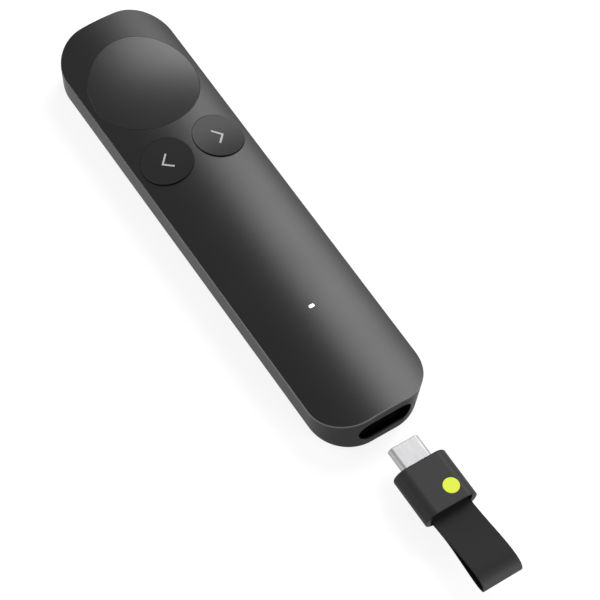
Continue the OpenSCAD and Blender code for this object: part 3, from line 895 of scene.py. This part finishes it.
@dataclass
class Window:
    """Lit window of the status light, which stands in the cover."""

    size: Layout
    edge: float = 0.15
    proud: float = 0.01
    depth: float = 2.2
    share: float = 0.999

    def build(self) -> Object:
        """Makes the window.

        Returns:
            The window.
        """
        s, loft = self.size, Loft()
        outline = RoundRect(s.light_w, s.light_t, s.light_t / 2 * self.share, 10, s.light_y)
        top, wall = Step(-self.edge, self.proud, 0, 1), Step(0, -self.depth, 1, 0)
        loft.solid(outline, [top, *round_edge(self.proud, self.edge), wall])
        loft.slice(s.bend / 2, s.bend * 2)
        loft.lift(s.crown.height, s.crown.slope)
        return loft.finish("light_window")


@dataclass(frozen=True)
class Level:
    """Ring of the shell: its height over x, how far in it lies, and its normal."""

    height: Callable[[float], float]
    dip: float
    side: float
    up: float


@dataclass
class Shell:
    """Lower shell with leaning sides, a round lower edge and the tail slot.

    The outside's painted light is painted_light_low at the tail and rises by painted_light_rise from
    painted_light_from forwards, over the length painted_light_over: the sides are painted lighter than the
    slot, and lighter still towards the head. The slot's inside keeps 0, a darker painted shade in the
    recess.
    """

    size: Layout
    joint: float = 0.03
    fillet_rings: int = 8
    mouth_edge: float = 0.12
    slot_depth: float = 3.4
    slot_play: float = 0.02
    painted_light_low: float = 0.235
    painted_light_rise: float = 0.6
    painted_light_from: float = -32.0
    painted_light_over: float = 38.0

    @property
    def mouth_y(self) -> float:
        """How far back the tail wall stands at the slot's middle."""
        s = self.size
        return s.length / 2 + s.end_swell * (1 - s.slot_z / s.edge_z)

    def at(self, x: float, y: float, z: float, dip: float) -> tuple[float, float]:
        """Moves a point of the plan to where it lies on a level of the wall.

        Args:
            x: Its place across, on the plan.
            y: Its place along, on the plan.
            z: Height of the level.
            dip: How far the level lies inside the wall's outside.

        Returns:
            The point on the level.
        """
        s = self.size
        low = 1 - min(z, s.edge_z) / s.edge_z
        gx, gy = s.plan.outward(x, y)
        hx0, hy0 = s.width / 2 - s.corner, s.length / 2 - s.corner
        r = s.corner + (s.low_corner - s.corner) * low
        hx, hy = s.width / 2 - s.side_lean * low - r, s.length / 2 + s.end_swell * low - r
        cx = clamp(x, -hx0, hx0) * hx / hx0
        cy = clamp(y, -hy0, hy0) * hy / hy0
        return cx + (r - dip) * gx, cy + (r - dip) * gy

    def normal(self, x: float, y: float, side: float, up: float) -> Vector:
        """Finds the normal of the leaning wall.

        Args:
            x: Place across, on the plan.
            y: Place along, on the plan.
            side: Outward part of the level's own normal.
            up: Upward part of it.

        Returns:
            The unit normal.
        """
        s = self.size
        gx, gy = s.plan.outward(x, y)
        turn = (s.corner - s.low_corner) / s.edge_z
        across, along = s.side_lean / s.edge_z - turn, -s.end_swell / s.edge_z - turn
        lean = abs(gx) * across + abs(gy) * along + turn
        return Vector((gx * side, gy * side, up - lean * side)).normalized()

    def levels(self) -> list[Level]:
        """Lists the rings from the underside up the outside and down to the floor.

        Returns:
            The rings.
        """
        s, b, top = self.size, self.size.bottom_r, self.size.rim + self.joint
        fillet = [
            Level(lambda _x, z=b * (1 - cos): z, b * (1 - sin), sin, -cos)
            for sin, cos in quarter(self.fillet_rings, 0)
        ]
        return fillet + [
            Level(lambda x: s.crown.height(x) - top, 0, 1, 0),
            Level(lambda x: s.crown.height(x) - top, s.wall, 0, 1),
            Level(lambda _x: s.floor, s.wall, -1, 0),
        ]

    def shape(self, loft: Loft, plan: dict[BMVert, Vector], verts: Iterable[BMVert], level: Level) -> None:
        """Puts points of the plan on a level.

        Args:
            loft: The shell's mesh.
            plan: Place of each point on the plan.
            verts: Points that move.
            level: Level that they move to.
        """
        for v in verts:
            x, y, _z = plan[v]
            z = level.height(x)
            v.co = Vector((*self.at(x, y, z, level.dip), z))
            v[loft.normals] = self.normal(x, y, level.side, level.up)

    def build(self) -> Object:
        """Makes the shell.

        Returns:
            The shell, with its slot cut.
        """
        loft = Loft()
        self.size.plan.ring(loft.bm)
        loft.slice(self.size.bend, 8.5 * self.size.bend, shift=0.0)
        ring = loft.bm.edges[:]
        plan = {v: v.co.copy() for v in loft.bm.verts}
        bottom, *others = self.levels()
        self.shape(loft, plan, plan, bottom)
        bmesh.ops.edgeloop_fill(loft.bm, edges=ring)
        for level in others:
            before = {v.co.copy().freeze(): plan[v] for e in ring for v in e.verts}
            verts, ring = loft.copy_ring(ring)
            plan.update((v, before[v.co.copy().freeze()]) for v in verts)
            self.shape(loft, plan, verts, level)
        bmesh.ops.edgeloop_fill(loft.bm, edges=ring)
        shell = loft.finish("shell")
        cut(shell, self.slot_cutter())
        self.dress(shell)
        return shell

    def slot_cutter(self) -> Object:
        """Makes the tool that cuts the tail slot, with a slightly rounded mouth.

        Returns:
            The cutter.
        """
        s, loft, face, e = self.size, Loft(), self.mouth_y, self.mouth_edge
        steps = [Step(e, face + 1, 1, 0)]
        steps += [Step(e * (1 - sin), face - e * (1 - cos), 1, 0) for sin, cos in quarter(4, 0)]
        steps.append(Step(0, face - self.slot_depth, 1, 0))
        loft.solid(RoundRect.pill(s.slot_w, s.slot_t, 28), steps)
        loft.turn_to_tail(s.slot_z)
        return loft.finish("slot_cutter")

    def dress(self, shell: Object) -> None:
        """Gives the outside its true normals and its painted light, lighter towards the head, and leaves
        the slot's inside at the darker colour, a painted shade in the recess.

        Args:
            shell: The shell.
        """
        s, b, least = self.size, self.size.bottom_r, math.cos(math.radians(14))

        def outside(_index: int, co: Vector, face: Vector) -> Optional[Vector]:
            """True normal of the outside at a point in metres."""
            x, y, z = co.x / MM, co.y / MM, co.z / MM
            if z < MM and face.z < -0.99:
                return Vector((0, 0, -1))
            c = clamp((b - z) / b)
            normal = self.normal(x, y, math.sqrt(1 - c * c), -c)
            return normal if normal.dot(face) > least else None

        set_normals(shell, outside, 30.0)
        half, high = s.slot_w / 2 + self.slot_play, s.slot_t / 2 + self.slot_play
        for v, tone in zip(shell.data.vertices, shell.data.attributes[PAINTED_LIGHT_LAYER].data):
            x, y, z = v.co / MM
            # Painted shade inside the slot; painted light on the outside, rising towards the head.
            painted_slot_shade = abs(x) < half and abs(z - s.slot_z) < high and -self.mouth_y + 0.05 < y < 0
            painted_head_light = self.painted_light_rise * clamp((y - self.painted_light_from) / self.painted_light_over)
            tone.value = 0.0 if painted_slot_shade else self.painted_light_low + painted_head_light


@dataclass
class Cap:
    """Round press cap with a dished top, its skirt and its stem; its side wall is painted dark, a painted
    shade in the gap round it.

    Heights that don't follow the crown are kept sunk, below fixed_below, until the top
    has been lifted.
    """

    size: Layout
    cap: CapSize
    name: str
    bottom: float = 8.9
    skirt: float = 1.0
    skin: float = 1.3
    top_rings: int = 14
    steps: int = 160
    sunk: float = 20.0
    fixed_below: float = -5.0

    def profile(self) -> list[tuple[float, float, float, float]]:
        """Draws the half section from the middle of the top to the stem's end.

        Returns:
            Radius, height and the normal's two parts of each point.
        """
        c, e = self.cap, self.cap.edge
        flat, inner = c.radius - e, c.radius - self.skirt
        low, stem_z = self.bottom - self.sunk, self.size.stem_z - self.sunk
        under = self.size.crown.height(abs(c.x) + c.radius) - self.skin - self.sunk
        places = (c.radius * k / self.top_rings for k in range(self.top_rings))
        return [
            *((r, 0.0, 0.0, 1.0) for r in places if r < flat - 0.2),
            (flat, 0, 0, 1),
            *((flat + e * sin, -e * (1 - cos), sin, cos) for sin, cos in quarter(6)),
            (c.radius, low, 1, 0),
            (inner, low, 0, -1),
            (inner, under, -1, 0),
            (c.stem, under, 0, -1),
            (c.stem, stem_z, 1, 0),
            (0.0, stem_z, 0, -1),
        ]

    def build(self) -> Object:
        """Makes the cap.

        Returns:
            The cap.
        """
        c, loft = self.cap, Loft()
        verts = []
        for r, z, side, up in self.profile():
            v = loft.bm.verts.new((r, 0, z))
            v[loft.normals] = Vector((side, 0, up))
            # Painted shade: the side wall and stem are painted near black, for the shadow in the gap round
            # the cap.
            v[loft.tone] = 1.0 if side > 0.999 else 0.0
            verts.append(v)
        geom = verts + [loft.bm.edges.new(pair) for pair in zip(verts, verts[1:])]
        bmesh.ops.spin(
            loft.bm, geom=geom, cent=(0, 0, 0), axis=(0, 0, 1), angle=2 * math.pi, steps=self.steps,
            use_merge=True,
        )
        for v in loft.bm.verts:
            n, r = v[loft.normals], math.hypot(v.co.x, v.co.y)
            if r > TINY:
                v[loft.normals] = Vector((n.x * v.co.x / r, n.x * v.co.y / r, n.z))
            v.co.x += c.x
            v.co.y += c.y
        loft.lift(c.height(self.size.crown), c.slope(self.size.crown), self.fixed_below)
        for v in loft.bm.verts:
            if v.co.z < self.fixed_below:
                v.co.z += self.sunk
        return loft.finish(self.name)


@dataclass
class Mark:
    """Arrow inlay of a button, which lies in its dished top."""

    size: Layout
    cap: CapSize
    side: Side
    height: float = 4.1
    stroke: float = 0.45
    tip_share: float = 0.31
    corner: float = 0.09
    depth: float = 0.4
    proud: float = 0.012
    bend: float = 0.25

    def build(self) -> Object:
        """Makes the mark.

        Returns:
            The mark.
        """
        loft = Loft()
        h, d, tip = self.height / 2, self.stroke / math.sqrt(8), self.tip_share * self.height
        end = tip - h
        upper = [(tip + 2 * d, 0), (end + d, h + d), (end - d, h - d)]
        lower = [(tip - 2 * d, 0), (end - d, d - h), (end + d, -d - h)]
        points = [
            loft.bm.verts.new((self.side.value * x + self.cap.x, y + self.cap.y, 0))
            for x, y in upper + lower
        ]
        loft.bm.faces.new(points)
        bevel(loft.bm, points, self.corner, 4)
        made = bmesh.ops.extrude_face_region(loft.bm, geom=loft.bm.faces[:])["geom"]
        bmesh.ops.translate(loft.bm, vec=(0, 0, -self.depth), verts=only(BMVert, made))
        loft.slice(self.bend, 12)
        loft.slice(self.bend, 24, axis=1)
        for v in loft.bm.verts:
            v[loft.normals] = Vector((0, 0, 1 if v.co.z > -self.depth / 2 else -1))
            v.co.z += self.proud
        loft.lift(self.cap.height(self.size.crown), self.cap.slope(self.size.crown))
        return loft.finish(f"{self.side.name.lower()}_arrow")


# ----------------------------------------------------------------- receiver


@dataclass(frozen=True)
class ReceiverSize:
    """Places and sizes that the receiver's pieces share, as it is shown drawn out."""

    axis_z: float = 7.13
    tip_y: float = -69.7
    front_y: float = -76.15
    rear_y: float = -89.25
    housing_w: float = 14.2
    housing_t: float = 6.2
    plug_w: float = 8.25
    plug_t: float = 2.4
    sheet: float = 0.3
    strap_w: float = 10.7
    strap_t: float = 0.45
    strap_l: float = 20.1
    pin_in: float = 2.6
    pin_drop: float = 1.1
    pin_r: float = 0.65
    rise: float = 8.0
    sag: float = 2.05
    dot_x: float = 2.35
    dot_d: float = 3.98


@dataclass
class Housing:
    """Moulded receiver housing: full round sides, plug hole and thin-walled strap mouth."""

    size: ReceiverSize
    front_edge: float = 0.5
    rear_edge: float = 0.22
    hole_play: float = 0.02
    hole_depth: float = 2.2
    mouth_wall: float = 0.35
    mouth_play: float = 0.2
    mouth_depth: float = 3.8

    def build(self) -> Object:
        """Makes the housing.

        Returns:
            The housing.
        """
        s, loft = self.size, Loft()
        front, rear, e, f = -s.front_y, -s.rear_y, self.front_edge, self.rear_edge
        hole = RoundRect.pill(s.plug_w + self.hole_play, s.plug_t + self.hole_play, 12)
        outer = loft.start(RoundRect.pill(s.housing_w, s.housing_t, 28), Step(-e, front, 0, -1))
        inner = loft.start(hole, Step(0, front, 0, -1))
        loft.fill(-1, outer, inner)
        loft.fill(-1, loft.grow(inner, [Step(0, front + self.hole_depth, -1, 0)]))
        side = [Step(-e * (1 - sin), front + e * (1 - cos), sin, -cos) for sin, cos in quarter(6)]
        side += [Step(-f * (1 - cos), rear - f * (1 - sin), cos, sin) for sin, cos in quarter(4, 0)]
        lip = loft.grow(outer, [*side, Step(-self.mouth_wall, rear, 0, 1)])
        half = s.strap_w / 2 + self.mouth_play
        for v in lip.verts():
            v.co.x = clamp(v.co.x, -half, half)
        loft.fill(1, loft.grow(lip, [Step(-self.mouth_wall, rear - self.mouth_depth, 0, 0)]))
        loft.turn_to_tail(s.axis_z)
        return loft.finish("housing", 1e-3)


@dataclass
class Plug:
    """Drawn steel shell of the plug, rounded at its tip and hollow."""

    size: ReceiverSize
    tip_edge: float = 0.22
    inside: float = 2.3

    def build(self) -> Object:
        """Makes the plug's shell.

        Returns:
            The shell.
        """
        s, loft = self.size, Loft()
        tip, root, e = -s.tip_y, -s.front_y + self.inside, self.tip_edge
        first = loft.start(RoundRect.pill(s.plug_w, s.plug_t, 16), Step(0, root, 1, 0))
        steps = [Step(-e * (1 - cos), tip + e * (1 - sin), cos, -sin) for sin, cos in quarter(5, 0)]
        steps += [
            Step(-s.sheet + 0.02, tip, 0, -1),
            Step(-s.sheet, tip + 0.04, -1, 0),
            Step(-s.sheet, root, -1, 0),
        ]
        bmesh.ops.bridge_loops(loft.bm, edges=first.edges + loft.grow(first, steps).edges)
        loft.turn_to_tail(s.axis_z)
        return loft.finish("plug")


@dataclass
class Dot:
    """Plain accent dot in the top of the housing."""

    size: ReceiverSize
    behind_rear: float = 4.1
    proud: float = 0.02
    edge: float = 0.05
    depth: float = 0.25

    def build(self) -> Object:
        """Makes the dot.

        Returns:
            The dot.
        """
        s, loft = self.size, Loft()
        disc = Disc(s.dot_x, s.rear_y + self.behind_rear, s.dot_d / 2, 96)
        top = s.axis_z + s.housing_t / 2 + self.proud
        side = [*round_edge(top, self.edge, 4), Step(0, top - self.depth, 1, 0)]
        loft.solid(disc, [Step(-self.edge, top, 0, 1), *side])
        return loft.finish("accent_dot")


@dataclass
class Strap:
    """Soft strap: two legs bonded from the pin to a seam, then an open loop.

    The outside's painted light is painted_light_low and rises by painted_light_rise towards the loop's end
    over
    the length fold: a painted highlight where the band curves down into its fold. The inner face and the
    edges keep the darker plain colour.
    """

    size: ReceiverSize
    seam: float = 0.3
    reach: float = 0.345
    count: int = 44
    edge: float = 0.1
    fold: float = 3.6
    painted_light_low: float = 0.115
    painted_light_rise: float = 0.8
    skin: float = 0.485
    border: float = 0.25

    def tone(self, y: float) -> float:
        """Painted light of the outside at a place along the strap: a painted highlight that grows towards
        the fold.
        """
        near = max(0.0, 1 - (y - (self.size.rear_y - self.size.strap_l)) / self.fold)
        return self.painted_light_low + self.painted_light_rise * near**2

    def centre_line(self) -> list[Vector]:
        """Draws the middle line of the band, as a closed path in the strap's own frame.

        Returns:
            Points (u, v), u along the strap from the pin and v up from it.
        """
        s = self.size
        t, rise = s.strap_t, math.radians(s.rise)
        end = (s.strap_l + s.pin_in - t / 2 - s.sag * math.sin(rise)) / math.cos(rise)
        start = self.seam * end
        pull = self.reach * (end - start)
        upper = [(start, t / 2), (start + pull, t / 2), (end, 0.95 * s.sag), (end, -s.sag)]
        lower = [(end, -s.sag), (end, -2.5 * s.sag), (start + pull, -t / 2), (start, -t / 2)]
        bond = s.pin_in + 1.4
        path = [Vector((bond + (start - bond) * k / 6, t / 2)) for k in range(6)]
        for leg in (upper, lower):
            for i in range(self.count):
                q = i / self.count
                w = ((1 - q) ** 3, 3 * q * (1 - q) ** 2, 3 * q * q * (1 - q), q**3)
                path.append(Vector([sum(k * p[n] for k, p in zip(w, leg)) for n in (0, 1)]))
        path += [Vector((start + (bond - start) * k / 6, -t / 2)) for k in range(7)]
        r = s.pin_r + t / 2
        turn = math.atan2(t / 2, bond) + math.acos(r / math.hypot(bond, t / 2))
        for i in range(25):
            a = -turn - (2 * math.pi - 2 * turn) * i / 24
            path.append(Vector((r * math.cos(a), r * math.sin(a))))
        return path

    def length(self) -> float:
        """Length of the band along its middle line."""
        path = self.centre_line()
        return sum((b - a).length for a, b in zip(path, path[1:] + path[:1]))

    def side(self, bm: BMesh, off: float) -> list[BMEdge]:
        """Adds one face's outline as a closed loop of edges at the band's left side.

        Args:
            bm: The strap's mesh.
            off: Distance from the middle line, positive on the outside.

        Returns:
            The loop.
        """
        s, path, rise = self.size, self.centre_line(), math.radians(self.size.rise)
        tone = bm.verts.layers.float[PAINTED_LIGHT_LAYER]
        verts = []
        for i, p in enumerate(path):
            along = (path[(i + 1) % len(path)] - path[i - 1]).normalized()
            u, v = p + off * Vector((-along.y, along.x))
            y = s.rear_y + s.pin_in - (u * math.cos(rise) - v * math.sin(rise))
            z = s.axis_z - s.pin_drop + u * math.sin(rise) + v * math.cos(rise)
            verts.append(bm.verts.new((-s.strap_w / 2, y, z)))
            # Painted highlight on the outside towards the fold; the inner face keeps the darker plain
            # colour.
            verts[-1][tone] = self.tone(y) if off > 0 else 0.0
        return [bm.edges.new(pair) for pair in zip(verts, verts[1:] + verts[:1])]

    def build(self) -> Object:
        """Makes the strap.

        Returns:
            The strap.
        """
        s, bm = self.size, bmesh.new()
        tone = bm.verts.layers.float.new(PAINTED_LIGHT_LAYER)
        off, half = self.skin * s.strap_t, s.strap_w / 2
        loops = self.side(bm, off) + self.side(bm, -off)
        faces = bmesh.ops.bridge_loops(bm, edges=loops)["faces"]
        for width in (self.border, s.strap_w - 2 * self.border, self.border):
            made = bmesh.ops.extrude_face_region(bm, geom=faces)["geom"]
            bmesh.ops.translate(bm, vec=(width, 0, 0), verts=only(BMVert, made))
            faces = only(BMFace, made)
        bmesh.ops.recalc_face_normals(bm, faces=bm.faces[:])
        rim = [
            e
            for e in bm.edges
            if any(all(abs(v.co.x - x) < MERGE for v in e.verts) for x in (-half, half))
            and e.calc_face_angle(0) > 1.2
        ]
        bevel(bm, rim, self.edge, 3, "EDGES")
        for v in bm.verts:
            # The edges keep the darker plain colour, without painted light.
            if abs(v.co.x) > half - 0.02:
                v[tone] = 0.0
        bmesh.ops.recalc_face_normals(bm, faces=bm.faces[:])
        return to_object(bm, "strap", 60)


# -------------------------------------------------------------------- stage


@dataclass(frozen=True)
class SoftBox:
    """Square studio lamp, at a distance in metres towards a direction."""

    name: str
    towards: tuple[float, float, float]
    distance: float
    size: tuple[float, float]
    watts: float


@dataclass
class Studio:
    """Camera, floor, sky and lamps, in metres."""

    eye: tuple[float, float, float] = (-0.2091209, -0.2665702, 0.5502921)
    turn: tuple[float, float, float] = (0.5264473590, -0.0768675582, -0.5865048687)
    lens: float = 161.4854
    aim: tuple[float, float, float] = (0.0, -0.02, 0.006)
    lamps: tuple[SoftBox, ...] = (
        SoftBox("key", (0.615, 0.289, 0.734), 1.255, (0.583, 0.9), 16.1),
        SoftBox("left_fill", (-0.80, 0.59, 0.09), 0.6, (0.4, 0.3), 3.0),
        SoftBox("tail_fill", (0.324, -0.852, 0.413), 0.8, (0.4, 0.3), 3.0),
    )
    sky: float = 0.4
    floor_size: float = 3.0
    floor_drop: float = 0.0004
    floor_grey: float = 0.18
    floor_glow: float = 0.86

    def camera(self) -> None:
        """Makes the camera at the photograph's place."""
        data = bpy.data.cameras.new("camera")
        cam = link("camera", data)
        cam.location, cam.rotation_euler = self.eye, self.turn
        data.lens, data.sensor_width, data.clip_start = self.lens, 36.0, 0.01
        bpy.context.scene.camera = cam

    def world(self) -> None:
        """Makes a soft plain sky."""
        sky = bpy.data.worlds.new("sky")
        bpy.context.scene.world = sky
        sky.use_nodes = True
        glow = {"Color": (1, 1, 1, 1), "Strength": self.sky}
        Graph(sky.node_tree).feed(sky.node_tree.nodes["Background"], glow)

    def paper(self) -> Material:
        """Makes paper that shows white to the camera and keeps a faint shadow.

        Returns:
            The material.
        """
        paper = bpy.data.materials.new("pale_paper")
        paper.use_nodes = True
        g = Graph(paper.node_tree)
        ray = g.node("ShaderNodeLightPath", {}).outputs
        white = g.math("MAXIMUM", ray["Is Camera Ray"], ray["Is Glossy Ray"])
        white = g.math("MAXIMUM", white, ray["Is Transmission Ray"])
        glow = g.span(white, 0, 1, 0.0, self.floor_glow)
        dull = {"Roughness": 0.9, "Specular IOR Level": 0.0}
        g.surface({"Base Color": (*(self.floor_grey,) * 3, 1), **dull})
        g.surface({"Emission Color": (1, 1, 1, 1), "Emission Strength": glow})
        return paper

    def floor(self) -> None:
        """Makes a plain floor."""
        bm = bmesh.new()
        bmesh.ops.create_grid(bm, x_segments=8, y_segments=8, size=self.floor_size)
        bmesh.ops.translate(bm, vec=(0, 0, -self.floor_drop), verts=bm.verts[:])
        mesh = bpy.data.meshes.new("floor")
        bm.to_mesh(mesh)
        bm.free()
        mesh.materials.append(self.paper())
        link("floor", mesh)

    def light(self) -> None:
        """Hangs the lamps."""
        for lamp in self.lamps:
            data = bpy.data.lights.new(lamp.name, "AREA")
            data.shape = "RECTANGLE"
            data.size, data.size_y = lamp.size
            data.energy = lamp.watts
            made = link(lamp.name, data)
            way = Vector(lamp.towards).normalized()
            made.location = Vector(self.aim) + way * lamp.distance
            made.rotation_euler = way.to_track_quat("Z", "Y").to_euler()

    def build(self) -> None:
        """Sets up the whole stage."""
        for part in (self.camera, self.world, self.floor, self.light):
            part()
        bpy.context.scene.view_settings.view_transform = "Standard"


# --------------------------------------------------------------------- main

FINE = {"fineness": 9000, "depth": 0.05, "haze": 0.04}
FLAT = {"roughness": 0.5, "spread": 0.05, "fineness": 9000, "depth": 0.02, "haze": 0.02}
DULL = {"haze": 0.02, "specular": 0.08}

# The cover's grey(96) second colour is a painted highlight on its rear rim edge.
COVER = Moulded("satin_cover", grey(25), 0.365, **FINE, specular=0.31, painted_light_color=grey(96))
# The shell's grey(60) second colour is painted light on its sides, stronger towards the head.
SHELL = Moulded("fine_shell", grey(6), 0.40, **DULL, painted_light_color=grey(60))
PAD = Moulded("satin_pad", grey(19), 0.365, **FINE, specular=0.38)
# The buttons' grey(4) second colour is painted shade on the caps' side walls.
BUTTON = Moulded(
    "satin_button", grey(27), 0.42, **{**FINE, "depth": 0.06}, specular=0.195, painted_light_color=grey(4)
)
HOUSING = Moulded("matte_housing", grey(40), 0.5, specular=0.15)
# The strap's grey(80) second colour is a painted highlight towards its fold.
STRAP = Moulded(
    "soft_strap", grey(14), 0.6, fineness=7000, depth=0.10, **DULL, sheen=0.12, painted_light_color=grey(80)
)
MARK = Moulded("pale_mark", grey(160), **FLAT, specular=0.3)
ACCENT = Moulded("lime_accent", (srgb(196), srgb(208), srgb(42)), **FLAT, specular=0.3)
LINER = Moulded("black_liner", grey(12), 0.6, depth=0.1, **DULL)
CARRIER = Moulded("black_carrier", grey(30), 0.45)
CHIP = Moulded("chip_black", grey(34), 0.55, fineness=12000, depth=0.15, haze=0.1)
FOAM = Moulded("foam_tape", grey(40), 0.9, fineness=3000, depth=0.6, haze=0.1, specular=0.1)
IVORY = Moulded("ivory_plug", (0.78, 0.74, 0.6), 0.4, depth=0.05)
PLUNGER = Moulded("pale_plunger", (0.66, 0.66, 0.6), 0.4, depth=0.05)
LEAD = Moulded("sleeved_lead", (0.32, 0.02, 0.015), 0.35, fineness=4000, depth=0.05)
# The steel's edge colour paints dark shade on the plug's sides where they turn away from the view.
STEEL = Metal("drawn_steel", (0.42, 0.42, 0.43), 0.6, edge=(0.05, 0.05, 0.05))
SCREW = Metal("screw_steel", (0.62, 0.62, 0.64), 0.3, lines=(4000, 4000, 900))
SHIELD = Metal("tinned_shield", (0.66, 0.67, 0.68), 0.35, lines=(1500, 9000, 9000))
FOIL = Metal("pouch_foil", (0.55, 0.57, 0.6), 0.42, lines=(700, 700, 700), depth=0.25)
GILT = Metal("gilt_contact", (0.83, 0.6, 0.22), 0.25)
LIT = Lamp("lit_window", (1.0, 1.0, 1.0), 1.2)
UNLIT = Lamp("lamp_body", (0.85, 0.85, 0.78), 0.6)
MASK = Board("solder_mask", (0.012, 0.095, 0.04), track=(0.03, 0.17, 0.075))

INSIDES = {
    LINER: "receiver_pocket",
    MASK: "main_board receiver_board",
    SCREW: "board_screws strap_pin haptic_motor",
    STEEL: "charge_port_shell",
    CARRIER: "charge_port_tongue plug_insulator pad_switch next_switch back_switch",
    GILT: "charge_port_contacts plug_contacts",
    SHIELD: "radio_module",
    CHIP: "motion_sensor charger_chip receiver_chip",
    FOIL: "battery_cell",
    FOAM: "battery_foam",
    LEAD: "battery_leads",
    IVORY: "battery_plug",
    UNLIT: "status_led",
    PLUNGER: "pad_plunger next_plunger back_plunger",
}


def dress_insides(made: dict[Finish, Material]) -> None:
    """Gives every carried-over CAD node its finish.

    Args:
        made: Material of each finish.
    """
    for finish, names in INSIDES.items():
        for name in names.split():
            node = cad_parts[name]
            node.data.materials.clear()
            node.data.materials.append(made[finish])
            LOG.info("%s keeps its CAD shape in %s", name, finish.name)


def main() -> None:
    """Builds the stage, the remote and its receiver."""
    logging.basicConfig(level=logging.INFO, format="%(name)s: %(message)s")
    make_grain()
    make_haze()
    outside = (COVER, SHELL, PAD, BUTTON, HOUSING, STRAP, MARK, ACCENT, LIT)
    made = {finish: finish.build() for finish in (*outside, *INSIDES)}
    layout, receiver = Layout(), ReceiverSize()
    Studio().build()

    place(Cover(layout).build(), Body.REMOTE, "top_cover", made[COVER])
    place(Window(layout).build(), Body.REMOTE, "status_lens", made[LIT])
    place(Shell(layout).build(), Body.REMOTE, "base_shell", made[SHELL])
    place(Cap(layout, layout.pad, "pad").build(), Body.PAD, "pointer_pad", made[PAD])
    for side, size, body in (
        (Side.NEXT, layout.next, Body.NEXT),
        (Side.BACK, layout.back, Body.BACK),
    ):
        node = side.name.lower()
        place(Cap(layout, size, f"{node}_cap").build(), body, f"{node}_button", made[BUTTON])
        place(Mark(layout, size, side).build(), body, f"{node}_mark", made[MARK])
    place(Housing(receiver).build(), Body.RECEIVER, "receiver_housing", made[HOUSING])
    place(Plug(receiver).build(), Body.RECEIVER, "plug_shell", made[STEEL])
    place(Dot(receiver).build(), Body.RECEIVER, "receiver_dot", made[ACCENT])
    strap = Strap(receiver)
    band = strap.build()
    place(band, Body.RECEIVER, "strap_loop", made[STRAP])
    flat = (receiver.strap_w * MM, strap.length() * MM)
    dress_insides(made)


if __name__ == "__main__":
    main()
